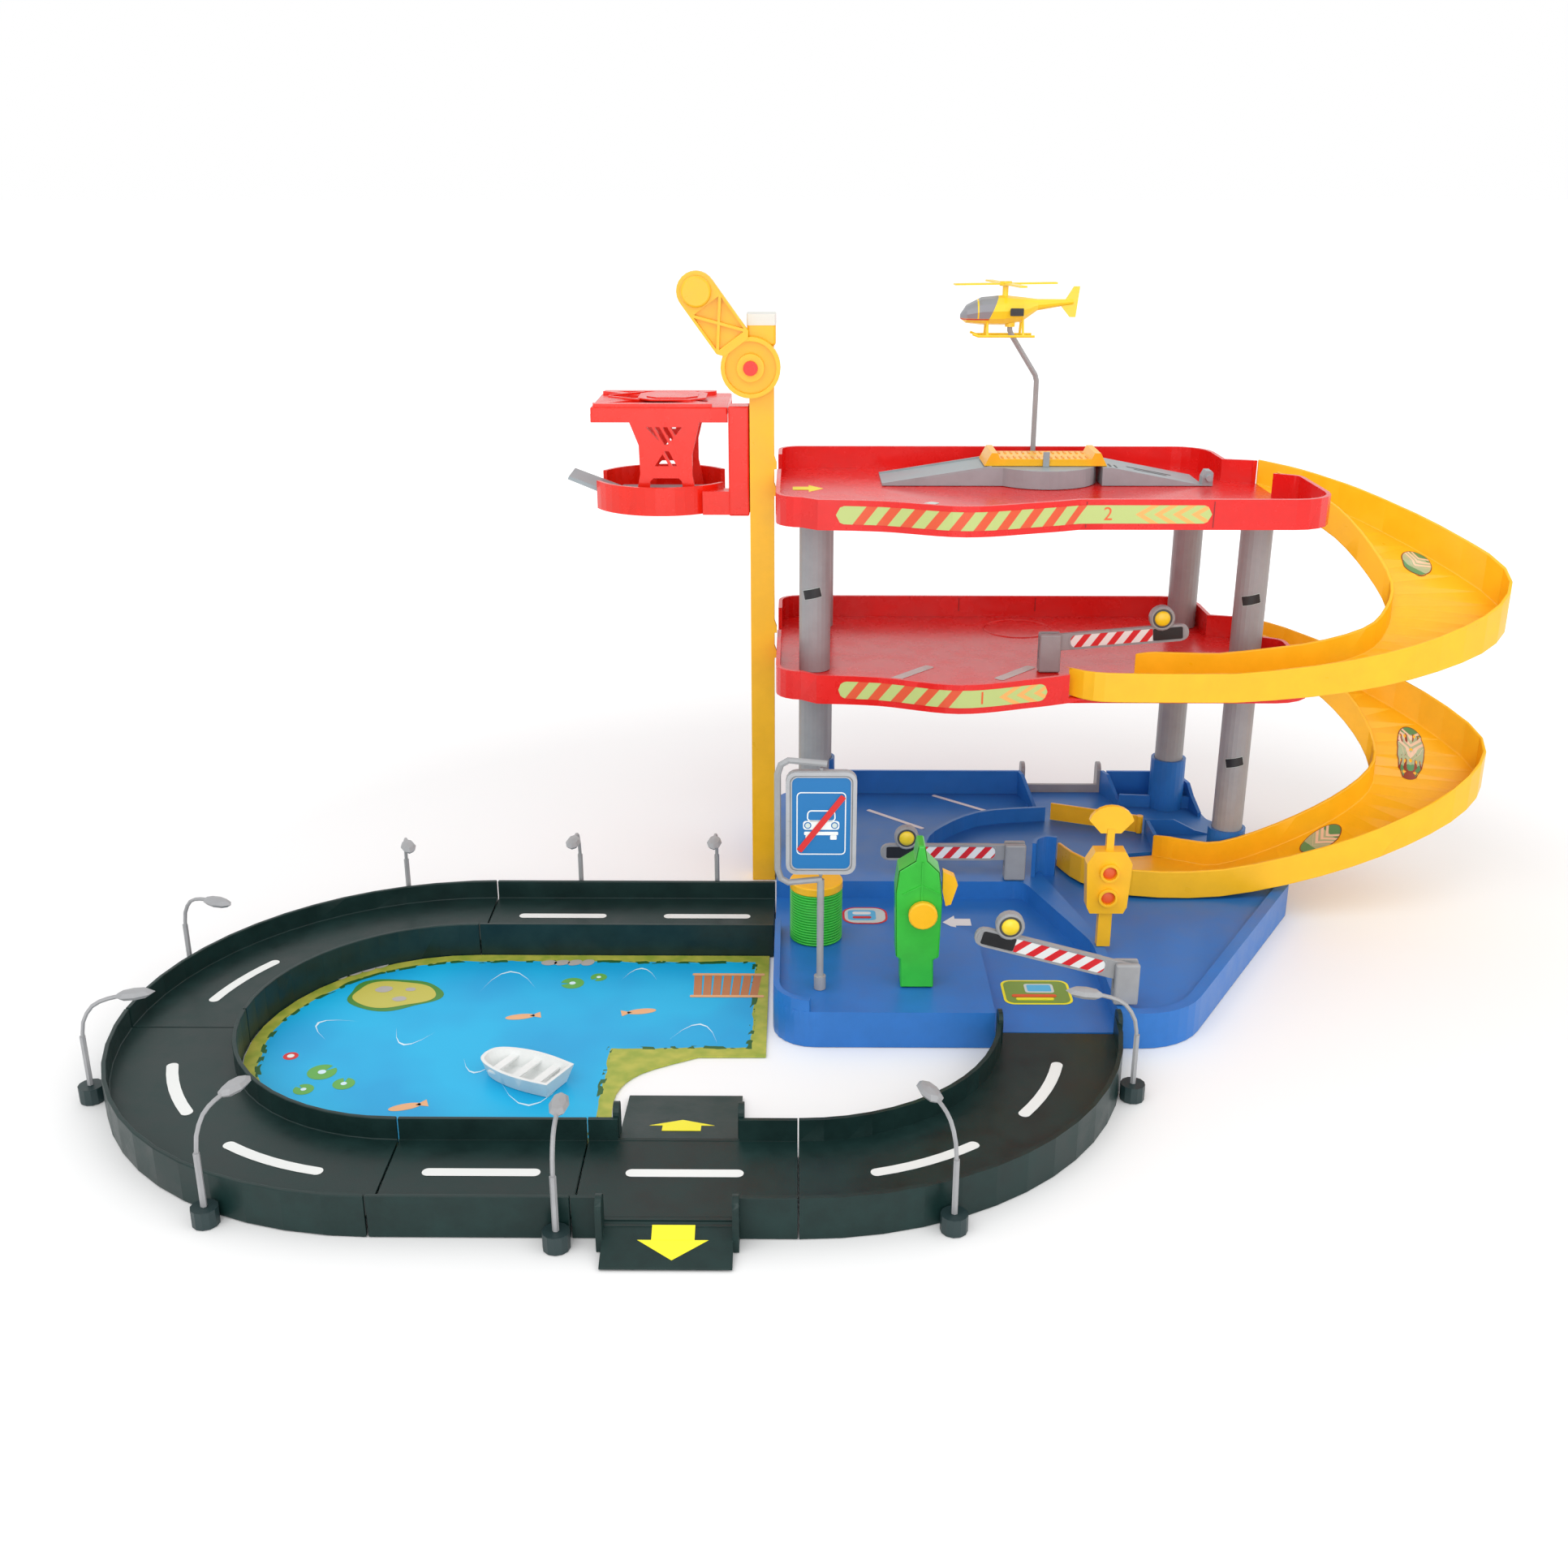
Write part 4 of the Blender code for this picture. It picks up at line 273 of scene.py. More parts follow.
def moulded_skin_group():
    """Grain, shallow waves and smudges, from Object coordinates in metres."""
    group, tree, link, given, put = new_group(
        "moulded_skin", (("Grain scale", 1800.0), ("Grain", 0.35), ("Wave scale", 22.0), ("Wave", 0.6)),
        ("Height", "Smudge"))
    spot = tree.new("ShaderNodeTexCoord").outputs["Object"]
    grain = noise(tree, link, spot, 2)
    link(given["Grain scale"], grain.inputs["Scale"])
    wave = noise(tree, link, spot, 1)
    link(given["Wave scale"], wave.inputs["Scale"])
    fine = tree.new("ShaderNodeMath")
    fine.operation = "MULTIPLY"
    link(grain.outputs["Fac"], fine.inputs[0])
    link(given["Grain"], fine.inputs[1])
    broad = tree.new("ShaderNodeMath")
    broad.operation = "MULTIPLY_ADD"
    link(wave.outputs["Fac"], broad.inputs[0])
    link(given["Wave"], broad.inputs[1])
    link(fine.outputs[0], broad.inputs[2])
    link(broad.outputs[0], put["Height"])
    smudge = noise(tree, link, spot, 4, 55)
    smudge.inputs["Roughness"].default_value = 0.65
    link(smudge.outputs["Fac"], put["Smudge"])
    return group


MOULDED_SKIN = moulded_skin_group()
print("group", MOULDED_SKIN.name, "with", len(MOULDED_SKIN.nodes), "nodes")


# %% Plastic materials
def blank_material(name):
    """A material with a Principled shader, its nodes and a link function."""
    made = bpy.data.materials.new(name)
    made.use_nodes = True
    tree = made.node_tree
    return made, tree.nodes["Principled BSDF"], tree.nodes, tree.links.new


def map_range(new, link, value, low, high, to_low, to_high):
    """A Map Range node fed by a value."""
    node = new.new("ShaderNodeMapRange")
    node.inputs["From Min"].default_value = low
    node.inputs["From Max"].default_value = high
    node.inputs["To Min"].default_value = to_low
    node.inputs["To Max"].default_value = to_high
    link(value, node.inputs["Value"])
    return node.outputs["Result"]


def plastic(name, colour, rough, grain=0.35, grain_scale=1800, wave=0.6, shade=0.12, coat=0.0, shine=0.5):
    """Moulded plastic: a colour that drifts a little, uneven gloss and the skin's bump."""
    made, shader, new, link = blank_material(name)
    skin = new.new("ShaderNodeGroup")
    skin.node_tree = MOULDED_SKIN
    skin.inputs["Grain scale"].default_value = grain_scale
    skin.inputs["Grain"].default_value = grain
    skin.inputs["Wave"].default_value = wave
    tint = new.new("ShaderNodeMix")
    tint.data_type = "RGBA"
    tint.inputs["A"].default_value = (*[value * (1 - shade) for value in colour], 1)
    tint.inputs["B"].default_value = (*[min(1, value * (1 + shade)) for value in colour], 1)
    link(map_range(new, link, skin.outputs["Smudge"], 0.3, 0.7, 0, 1), tint.inputs["Factor"])
    link(tint.outputs["Result"], shader.inputs["Base Color"])
    uneven_gloss = map_range(new, link, skin.outputs["Smudge"], 0.3, 0.7, rough * 0.8, rough * 1.25)
    link(uneven_gloss, shader.inputs["Roughness"])
    bump = new.new("ShaderNodeBump")
    bump.inputs["Strength"].default_value = 0.35
    bump.inputs["Distance"].default_value = 0.0003
    link(skin.outputs["Height"], bump.inputs["Height"])
    link(bump.outputs["Normal"], shader.inputs["Normal"])
    shader.inputs["Specular IOR Level"].default_value = shine
    shader.inputs["Coat Weight"].default_value = coat
    shader.inputs["Coat Roughness"].default_value = 0.15
    return made


TRACK = plastic("track_plastic", (0.006, 0.024, 0.022), 0.38, grain=0.4, wave=0.4, shade=0.25, coat=0.05,
                shine=0.3)
BLUE = plastic("blue_plastic", (0.022, 0.165, 0.520), 0.36, grain=0.2, wave=0.3, shade=0.07, coat=0.08,
               shine=0.35)
RED_SKIN = {"rough": 0.26, "grain": 0.12, "wave": 0.25, "shade": 0.05, "coat": 0.15, "shine": 0.35}
RED = plastic("red_plastic", (0.760, 0.010, 0.008), **RED_SKIN)
LIFT_RED = plastic("lift_red_plastic", (0.840, 0.018, 0.006), **RED_SKIN)
YELLOW = plastic("yellow_plastic", (0.960, 0.500, 0.010), 0.34, grain=0.2, wave=0.3, shade=0.05, coat=0.1,
                 shine=0.4)
BRIGHT_YELLOW = plastic("bright_yellow_plastic", (0.950, 0.680, 0.020), 0.34, shade=0.05, coat=0.25)
GREY = plastic("grey_plastic", (0.330, 0.335, 0.345), 0.42, shade=0.08)
LIGHT_GREY = plastic("light_grey_plastic", (0.330, 0.380, 0.400), 0.42, shade=0.08)
GREEN = plastic("green_plastic", (0.030, 0.480, 0.035), 0.38, shade=0.10, coat=0.15)
WHITE = plastic("white_plastic", (0.780, 0.800, 0.790), 0.40, shade=0.05)
SILVER = plastic("silver_plastic", (0.420, 0.430, 0.450), 0.30, grain=0.2, shade=0.06, coat=0.3)
DARK = plastic("dark_grey_plastic", (0.060, 0.065, 0.070), 0.42, shade=0.15)
AMBER = plastic("amber_plastic", (0.850, 0.330, 0.010), 0.40, shade=0.08)
# A pale plastic for the mast's cap: its paleness is painted reflection of the glare on the cap's top.
PALE_GLARE = plastic("painted_glare_plastic", (0.720, 0.720, 0.660), 0.35, shade=0.04)
print("plastics:", len([m for m in bpy.data.materials if m.name.endswith("plastic")]))

# %% [markdown]
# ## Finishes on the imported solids
#
# Each solid keeps its shape and gets its plastic. Real mouldings have no knife edges, so a Weld
# modifier joins the solid's loose triangles and a small Bevel rounds its edges, which then catch the
# light.

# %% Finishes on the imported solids
FINISHES = {
    TRACK: ("track_", "junction_"),
    BLUE: ("base_plate",),
    RED: ("deck_",),
    LIFT_RED: ("lift_tray", "lift_cab", "crank_axle"),
    YELLOW: ("lift_mast", "crank", "upper_ramp", "lower_ramp", "traffic_light", "turntable", "pump_knob",
             "pump_nozzle", "lane_gate"),
    BRIGHT_YELLOW: ("heli_body", "heli_rotor"),
    GREY: ("rear_ramp", "lower_column", "upper_column", "barrier_post", "barrier_arm", "sign_post",
           "heli_rod", "street_lamp"),
    LIGHT_GREY: ("lift_floor", "turntable_base", "launch_ramp"),
    GREEN: ("pump_body", "roller"),
    WHITE: ("boat",),
}
EDGE_ROUND = {
    "deck_": 0.0011, "base_plate": 0.0018, "upper_ramp": 0.0008, "lower_ramp": 0.0008, "track_": 0.0006,
    "lift_": 0.0006, "crank": 0.0006, "turntable": 0.0005, "pump_body": 0.0005, "rear_ramp": 0.0006,
    "junction_": 0.0005, "barrier_": 0.0004, "launch_ramp": 0.0004, "boat": 0.0004, "traffic": 0.0005,
    "lane_gate": 0.0003}


def longest_match(name, table):
    """The value of the longest key that the name starts with."""
    keys = [key for key in table if name.startswith(key)]
    return table[max(keys, key=len)] if keys else None


finish_of = {prefix: material for material, prefixes in FINISHES.items() for prefix in prefixes}
for name, node in nodes.items():
    material = longest_match(name, finish_of) or GREY
    node.data.materials.clear()
    node.data.materials.append(material)
    width = longest_match(name, EDGE_ROUND)
    if width:
        weld = node.modifiers.new("weld", "WELD")
        weld.merge_threshold = 0.000004
        round_edges = node.modifiers.new("round_edges", "BEVEL")
        round_edges.width = width
        round_edges.segments = 2
        round_edges.limit_method = "ANGLE"
        round_edges.angle_limit = radians(40)
        round_edges.harden_normals = True
print("finished", len(nodes), "solids")

# %% [markdown]
# ## Prints
#
# Road marks and stickers are thin plates. Each is drawn flat at the origin, keeps its flat place in
# metres as its UV, and is then dropped on the solid that carries it. A print's pattern is worked out
# from those UVs, so that it stays on its plate in every pose.

# %% Helpers for prints
def keep_flat_places(obj):
    """Store every point's flat place, in metres, as its UV."""
    layer = obj.data.uv_layers.active or obj.data.uv_layers.new()
    for loop in obj.data.loops:
        flat = obj.data.vertices[loop.vertex_index].co
        layer.data[loop.index].uv = (flat.x, flat.y)
    return obj


def stuck(obj, target, axis="Z", thickness=PRINT_THICKNESS):
    """Drop a flat plate on a solid, along -Z or along +Y, and give it a print's thickness."""
    drop = obj.modifiers.new("drop", "SHRINKWRAP")
    drop.wrap_method = "PROJECT"
    drop.wrap_mode = "ABOVE_SURFACE"
    drop.target = nodes[target]
    drop.use_project_z = axis == "Z"
    drop.use_project_y = axis == "Y"
    drop.use_negative_direction = axis == "Z"
    drop.use_positive_direction = axis == "Y"
    drop.offset = PRINT_THICKNESS
    thicken = obj.modifiers.new("thicken", "SOLIDIFY")
    thicken.thickness = thickness
    thicken.offset = 1
    apply_all(obj)
    return obj


def ring_plate(width, height, corner, border, thickness):
    """A flat frame with rounded corners: a plate with a smaller plate cut out."""
    outer = start_plate(width, height, corner, thickness)
    inner = start_plate(width - 2 * border, height - 2 * border, max(corner - border, 0.0002), thickness * 3)
    inner.location.z = -thickness
    settle(inner)
    cut = outer.modifiers.new("cut", "BOOLEAN")
    cut.operation = "DIFFERENCE"
    cut.object = inner
    apply_all(outer)
    only(inner)
    bpy.ops.object.delete()
    return outer


def arrow_plate(length, width, shaft, head):
    """A flat arrow that points along +X, centred at the origin."""
    clear()
    bpy.ops.mesh.primitive_circle_add(vertices=3, radius=1, fill_type="NGON")
    tip = bpy.context.object
    move_points(tip, lambda co: Vector((length / 2, 0, 0)) if co.y > 0.9 else
                Vector((length / 2 - head, math.copysign(width / 2, co.x), 0)))
    stem = start_plate(length - head, shaft)
    place(stem, (-head / 2, 0, 0))
    arrow = merged([stem, tip])
    edit_all(arrow)
    bpy.ops.mesh.normals_make_consistent(inside=False)
    bpy.ops.object.mode_set(mode="OBJECT")
    return arrow


def up_facing(obj):
    """Turn a flat piece over if its faces look down."""
    if obj.data.polygons[0].normal.z < 0:
        edit_all(obj)
        bpy.ops.mesh.flip_normals()
        bpy.ops.object.mode_set(mode="OBJECT")
    return obj


# %% The pattern groups
def math_node(tree, link, operation, first, second=None):
    """A Math node fed by sockets or plain numbers."""
    node = tree.new("ShaderNodeMath")
    node.operation = operation
    for index, value in enumerate((first, second)):
        if value is None:
            continue
        if isinstance(value, (int, float)):
            node.inputs[index].default_value = value
        else:
            link(value, node.inputs[index])
    return node.outputs[0]


def bands_group():
    """Slanted bands along a print, between two places. Mirror 1 folds them into arrowheads."""
    group, tree, link, given, put = new_group(
        "bands", (("Slant", 0.75), ("Period", 0.0138), ("Width", 0.0065), ("From", -1.0), ("To", 1.0),
                  ("Mirror", 0.0)), ("Mask",))
    flat = tree.new("ShaderNodeTexCoord")
    parts = tree.new("ShaderNodeSeparateXYZ")
    link(flat.outputs["UV"], parts.inputs[0])
    x, y = parts.outputs["X"], parts.outputs["Y"]
    calc = partial(math_node, tree, link)
    fold = calc("SUBTRACT", calc("ABSOLUTE", y), y)
    across = calc("ADD", y, calc("MULTIPLY", fold, given["Mirror"]))
    along = calc("SUBTRACT", x, calc("MULTIPLY", across, given["Slant"]))
    turn = calc("FRACT", calc("DIVIDE", along, given["Period"]))
    inked = calc("LESS_THAN", turn, calc("DIVIDE", given["Width"], given["Period"]))
    both = calc("MULTIPLY", calc("GREATER_THAN", along, given["From"]), calc("LESS_THAN", along, given["To"]))
    link(calc("MULTIPLY", inked, both), put["Mask"])
    return group


BANDS = bands_group()


def mixed(tree, link, mask, below, above):
    """A colour Mix node: below where the mask is 0, above where it is 1."""
    mix = tree.new("ShaderNodeMix")
    mix.data_type = "RGBA"
    link(mask, mix.inputs["Factor"])
    for name, value in (("A", below), ("B", above)):
        if isinstance(value, tuple):
            mix.inputs[name].default_value = (*value, 1)
        else:
            link(value, mix.inputs[name])
    return mix.outputs["Result"]


def bands(tree, **values):
    """One use of the bands group, with its sizes set."""
    node = tree.new("ShaderNodeGroup")
    node.node_tree = BANDS
    for name, value in values.items():
        node.inputs[name].default_value = value
    return node.outputs["Mask"]


def ink(name, colour, rough=0.42):
    """A plain print: flat ink with a slight drift of gloss."""
    made, shader, new, link = blank_material(name)
    shader.inputs["Base Color"].default_value = (*colour, 1)
    skin = new.new("ShaderNodeGroup")
    skin.node_tree = MOULDED_SKIN
    uneven_gloss = map_range(new, link, skin.outputs["Smudge"], 0.3, 0.7, rough * 0.85, rough * 1.2)
    link(uneven_gloss, shader.inputs["Roughness"])
    return made


def banded(name, ground, pens, rough=0.40):
    """A print with a ground colour and any number of band patterns, given as (colour, sizes)."""
    made, shader, new, link = blank_material(name)
    colour = ground
    for pen, sizes in pens:
        colour = mixed(new, link, bands(new, **sizes), colour, pen)
    link(colour, shader.inputs["Base Color"])
    shader.inputs["Roughness"].default_value = rough
    return made


WHITE_INK = ink("white_ink", (0.84, 0.86, 0.84))
YELLOW_INK = ink("yellow_ink", (0.95, 0.86, 0.02))
ORANGE_INK = ink("orange_ink", (0.80, 0.11, 0.02))
RED_INK = ink("red_ink", (0.66, 0.018, 0.018))
BLACK_INK = ink("black_ink", (0.012, 0.012, 0.014))
BLUE_INK = ink("sign_blue_ink", (0.004, 0.165, 0.440))
PALE_INK = ink("pale_ink", (0.62, 0.70, 0.66))
SKY_INK = ink("sky_ink", (0.10, 0.50, 0.80))
OLIVE_INK = ink("olive_ink", (0.20, 0.33, 0.05))
print("inks:", len([m for m in bpy.data.materials if m.name.endswith("ink")]))

# %% [markdown]
# ## Road marks on the track
#
# White dashes run round the loop, straight ones on the straights and bent ones on the curves. Yellow
# arrows on the junction's two flaps point off the road.

# %% Road marks on the track
LOOP_RADIUS = 0.1443
LEFT_CENTRE = (-0.3523, -0.1717)
RIGHT_CENTRE = (-0.1536, -0.1717)
DASH_WIDTH = 0.0062
FRONT_LANE_Y = -0.3125
BACK_LANE_Y = -0.0235


def dash(name, start, end, y, target):
    """A straight dash from one x to another."""
    bar = start_plate(end - start, DASH_WIDTH, DASH_WIDTH * 0.48)
    place(bar, ((start + end) / 2, y, 0.05))
    return done(stuck(bar, target), name, WHITE_INK)


def bent_dash(name, centre, radius, start_angle, end_angle, target):
    """A dash that follows a curve, from one angle to another in degrees."""
    length = radius * radians(end_angle - start_angle)
    bar = divided(start_plate(length, DASH_WIDTH, DASH_WIDTH * 0.48), 5)
    middle = radians((start_angle + end_angle) / 2)

    def bent(co):
        turn = middle - co.x / radius
        reach = radius + co.y
        return Vector((centre[0] + reach * cos(turn), centre[1] + reach * sin(turn), 0.05))

    return done(stuck(up_facing(move_points(bar, bent)), target), name, WHITE_INK)


dash("dash_front_1", -0.3345, -0.2775, FRONT_LANE_Y, "track_front_straight")
dash("dash_front_2", -0.2365, -0.1798, FRONT_LANE_Y, "track_junction")
dash("dash_back_1", -0.3338, -0.2775, BACK_LANE_Y, "track_back_straight")
dash("dash_back_2", -0.2404, -0.1845, BACK_LANE_Y, "track_back_straight")
BENT_DASHES = (("left_1", LEFT_CENTRE, 145, 168, "rear_left"),
               ("left_2", LEFT_CENTRE, 196, 219, "front_left"),
               ("left_3", LEFT_CENTRE, 234, 258, "front_left"),
               ("right_1", RIGHT_CENTRE, 284, 308, "front_right"),
               ("right_2", RIGHT_CENTRE, 322, 346, "front_right"))
for name, centre, start, end, curve in BENT_DASHES:
    bent_dash("dash_" + name, centre, LOOP_RADIUS, start, end, "track_curve_" + curve)

for end, sizes, x, y, turn in (("front", (0.0172, 0.0324, 0.0197, 0.0100), -0.2105, -0.3612, -pi / 2),
                               ("back", (0.0135, 0.0330, 0.0196, 0.0068), -0.2125, -0.2662, pi / 2)):
    flap_arrow = place(arrow_plate(*sizes), (x, y, 0.05), (0, 0, turn))
    done(stuck(flap_arrow, "junction_ramp_" + end), "flap_arrow_" + end, YELLOW_INK)
print("road marks:", how_many("dash_", "flap_"))

# %% [markdown]
# ## Marks on the base and the decks
#
# The base has two slanted parking lines, an arrow in the lane and two bright stickers. Each deck has
# two parking lines near its wavy front, and the lower one has a raised ring in its floor.

# %% Lines, arrows and the ring
def line_mark(name, start, end, width, target, material, body="garage"):
    """A thin bar from one place to another, seen from above."""
    first, last = Vector((*start, 0)), Vector((*end, 0))
    run = last - first
    bar = start_plate(run.length, width, width * 0.3)
    middle = (first + last) / 2
    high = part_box(target)[1][2] + 0.01
    place(bar, (middle.x, middle.y, high), (0, 0, math.atan2(run.y, run.x)))
    return done(stuck(bar, target), name, material, body)


line_mark("parking_line_1", (-0.1027, 0.1351), (-0.0645, 0.0985), 0.0034, "base_plate", WHITE_INK)
line_mark("parking_line_2", (-0.0527, 0.1655), (-0.0150, 0.1326), 0.0034, "base_plate", WHITE_INK)
lane_arrow = place(arrow_plate(0.0180, 0.0200, 0.0100, 0.0080), (-0.0520, -0.0310, 0.10), (0, 0, pi))
done(stuck(lane_arrow, "base_plate"), "lane_arrow", WHITE_INK)
for level in ("1", "2"):
    for side, x in (("left_", -0.0935), ("right_", -0.0275)):
        line_mark("deck_line_" + side + level, (x, 0.0130), (x + 0.0255, 0.0425), 0.0072, "deck_" + level,
                  PALE_INK)
deck_arrow = place(arrow_plate(0.0200, 0.0240, 0.0110, 0.0095), (-0.1480, 0.0902, 0.30))
done(stuck(deck_arrow, "deck_2"), "deck_arrow", YELLOW_INK)

RING_SPOT = (0.0003, 0.1360)
clear()
bpy.ops.mesh.primitive_torus_add(location=(*RING_SPOT, 0.1590), major_radius=0.0236, minor_radius=0.0006,
                                 major_segments=64, minor_segments=8)
done(bpy.context.object, "deck_ring", RED)
print("lines:", how_many("parking_line_", "deck_line_"), "and arrows:", how_many("lane_arrow", "deck_arrow"))


# %% Stickers on the base
def sticker_stack(name, centre, target, layers, body="garage"):
    """A sticker of rounded plates laid on one another: (width, height, corner, dx, dy, ink)."""
    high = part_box(target)[1][2] + 0.02
    for layer, (width, height, corner, dx, dy, material) in enumerate(layers, 1):
        plate = start_plate(width, height, corner)
        place(plate, (centre[0] + dx, centre[1] + dy, high))
        stuck(plate, target, thickness=PRINT_THICKNESS * layer)
        done(plate, name + "_" + str(layer), material, body)


sticker_stack("lane_sticker", (-0.1105, -0.0215), "base_plate", (
    (0.0290, 0.0250, 0.0090, 0, 0, RED_INK), (0.0262, 0.0222, 0.0078, 0, 0, PALE_INK),
    (0.0180, 0.0150, 0.0030, -0.0020, 0, SKY_INK), (0.0120, 0.0040, 0.0018, -0.0020, 0.0030, WHITE_INK),
    (0.0120, 0.0030, 0.0014, -0.0020, -0.0035, RED_INK)))
sticker_stack("entry_sticker", (-0.0140, -0.1262), "base_plate", (
    (0.0400, 0.0300, 0.0060, 0, 0, YELLOW_INK), (0.0370, 0.0270, 0.0050, 0, 0, OLIVE_INK),
    (0.0170, 0.0110, 0.0020, 0.0020, 0.0045, PALE_INK), (0.0140, 0.0080, 0.0012, 0.0020, 0.0045, SKY_INK),
    (0.0260, 0.0030, 0.0014, -0.0020, -0.0050, ORANGE_INK),
    (0.0220, 0.0024, 0.0011, -0.0020, -0.0090, YELLOW_INK)))
print("sticker layers:", how_many("lane_sticker_", "entry_sticker_"))

# %% [markdown]
# ## Strips on the deck fronts
#
# A pale green strip follows the wave of each deck's front wall. It has slanted orange bars, the
# storey's number and a row of arrowheads that point left. The walls also show a few thin seams, where
# the mould's parts met, so each gets a hair-thin dark plate.

# %% Strips on the deck fronts
STRIP_HEIGHT = 0.0108
STRIP_ABOVE_WALL_FOOT = 0.0092
STRIP_GREEN = (0.500, 0.580, 0.190)
STRIP_ORANGE = (0.740, 0.085, 0.025)
STRIP_PALE = (0.860, 0.420, 0.110)


def deck_strip(number, wall_foot, start, end, bars, number_x, heads):
    """The strip on one storey's deck: its ends, and the ranges of its bars and its arrowheads."""
    name, target = "strip_" + number, "deck_" + number
    middle = (start + end) / 2
    length = end - start
    clear()
    bpy.ops.mesh.primitive_grid_add(x_subdivisions=96, y_subdivisions=2, size=1)
    strip = bpy.context.object
    half = STRIP_HEIGHT / 2

    def rounded_end(co):
        x = co.x * length
        past = max(0.0, abs(x) - (length / 2 - half)) / half
        return Vector((x, co.y * STRIP_HEIGHT * math.sqrt(max(0.0, 1 - past * past)), 0))

    move_points(strip, rounded_end)
    keep_flat_places(strip)
    height = wall_foot + STRIP_ABOVE_WALL_FOOT
    place(strip, (middle, -0.10, height), (pi / 2, 0, 0))
    print_colours = banded(name + "_print", STRIP_GREEN, (
        (STRIP_ORANGE, {"From": bars[0] - middle, "To": bars[1] - middle}),
        (STRIP_PALE, {"From": heads[0] - middle, "To": heads[1] - middle, "Slant": 1.7, "Period": 0.0109,
                      "Width": 0.0048, "Mirror": 1.0})))
    done(stuck(strip, target, "Y"), name, print_colours)
    clear()
    bpy.ops.object.text_add()
    digit = bpy.context.object
    digit.data.body = number
    digit.data.size = 0.0112
    digit.data.align_x = "CENTER"
    digit.data.align_y = "CENTER"
    bpy.ops.object.convert(target="MESH")
    place(digit, (number_x, -0.10, height), (pi / 2, 0, 0))
    done(stuck(digit, target, "Y", thickness=PRINT_THICKNESS * 2), name + "_number", ORANGE_INK)


deck_strip("2", 0.2630, -0.1323, 0.0885, (-0.1225, 0.0110), 0.0275, (0.0390, 0.0825))
deck_strip("1", 0.1560, -0.1297, -0.0030, (-0.1225, -0.0560), -0.0440, (-0.0380, -0.0060))
SEAM_INK = ink("seam_ink", (0.260, 0.006, 0.006))
SEAMS = (("deck_2", 0.0148, -0.10, 0.2644, 0.2664), ("deck_2", 0.0148, -0.10, 0.2780, 0.2798),
         ("deck_2", 0.0896, -0.10, 0.2644, 0.2798), ("deck_1", -0.0380, 0.10, 0.1630, 0.1728),
         ("deck_1", 0.0170, 0.10, 0.1630, 0.1728))
for number, (target, x, y, low, high) in enumerate(SEAMS, 1):
    seam = start_plate(0.0005, high - low, 0.0001)
    place(seam, (x, y, (low + high) / 2), (pi / 2, 0, 0))
    done(stuck(seam, target, "Y"), "wall_seam_" + str(number), SEAM_INK)
print("strips on both decks, and five short seams")

# %% [markdown]
# ## Labels and ovals
#
# The toy's name labels are left bare: dark plates with a pale edge. They sit on three columns, on the
# barriers and on the helicopter. Ovals with arrowheads lie on the ramps.

# %% Labels and ovals
LABEL_SIZE = (0.0115, 0.0060)
LABEL_TILT = Matrix.Rotation(radians(14), 3, "Z")


def column_label(name, column, height):
    """A tilted dark label wrapped on the front of a column."""
    low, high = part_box(column)
    axis = ((low[0] + high[0]) / 2, (low[1] + high[1]) / 2)
    radius = (high[0] - low[0]) / 2
    for layer, (grow, material) in enumerate(((0.0005, PALE_INK), (0.0, BLACK_INK)), 1):
        clear()
        bpy.ops.mesh.primitive_grid_add(x_subdivisions=12, y_subdivisions=2, size=1)
        label = bpy.context.object
        lift = radius + PRINT_THICKNESS * layer

        def wrapped(co):
            flat = Vector((co.x * (LABEL_SIZE[0] + grow), co.y * (LABEL_SIZE[1] + grow), 0))
            flat = LABEL_TILT @ flat
            turn = flat.x / radius - 0.20
            return Vector((axis[0] + lift * sin(turn), axis[1] - lift * cos(turn), height + flat.y))

        move_points(label, wrapped)
        done(label, name + "_" + str(layer), material)


column_label("label_upper_left", "upper_column_front_left", 0.2108)
column_label("label_upper_right", "upper_column_front_right", 0.2040)
column_label("label_lower_right", "lower_column_front_right", 0.0935)


def ramp_oval(name, centre, length, width, heading, target):
    """An oval sticker on a ramp: a dark rim, a pale field with a green edge, and arrowheads."""
    above = centre[2] + 0.02
    for layer, (grow, material) in enumerate(((0.0012, OVAL_RIM), (0.0, OVAL_PRINT)), 1):
        clear()
        bpy.ops.mesh.primitive_circle_add(vertices=40, radius=0.5, fill_type="TRIFAN")
        oval = bpy.context.object
        oval.scale = (length + grow, width + grow, 1)
        settle(oval)
        divided(oval, 3)
        keep_flat_places(oval)
        place(oval, (centre[0], centre[1], above), (0, 0, radians(heading)))
        stuck(oval, target, thickness=PRINT_THICKNESS * layer)
        done(oval, name + "_" + str(layer), material)


OVAL_RIM = ink("oval_rim_ink", (0.30, 0.05, 0.02))
OVAL_GREEN = (0.10, 0.30, 0.12)
SOLID = {"Width": 0.5, "Period": 0.5, "Slant": 0.0}
OVAL_PRINT = banded("oval_print", (0.42, 0.50, 0.30), (
    (OVAL_GREEN, {"From": 0.0068, "To": 1.0, **SOLID}), (OVAL_GREEN, {"From": -1.0, "To": -0.0068, **SOLID}),
    ((0.85, 0.62, 0.45), {"From": -0.0060, "To": 0.0060, "Slant": 0.8, "Period": 0.0040, "Width": 0.0022,
                          "Mirror": 1.0})))
ramp_oval("oval_upper_1", (0.2412, 0.0502, 0.2261), 0.0240, 0.0180, 60, "upper_ramp")
ramp_oval("oval_upper_2", (0.1900, -0.0060, 0.1900), 0.0260, 0.0150, 18, "upper_ramp")
ramp_oval("oval_lower_1", (0.2560, 0.0542, 0.0970), 0.0250, 0.0170, 80, "lower_ramp")
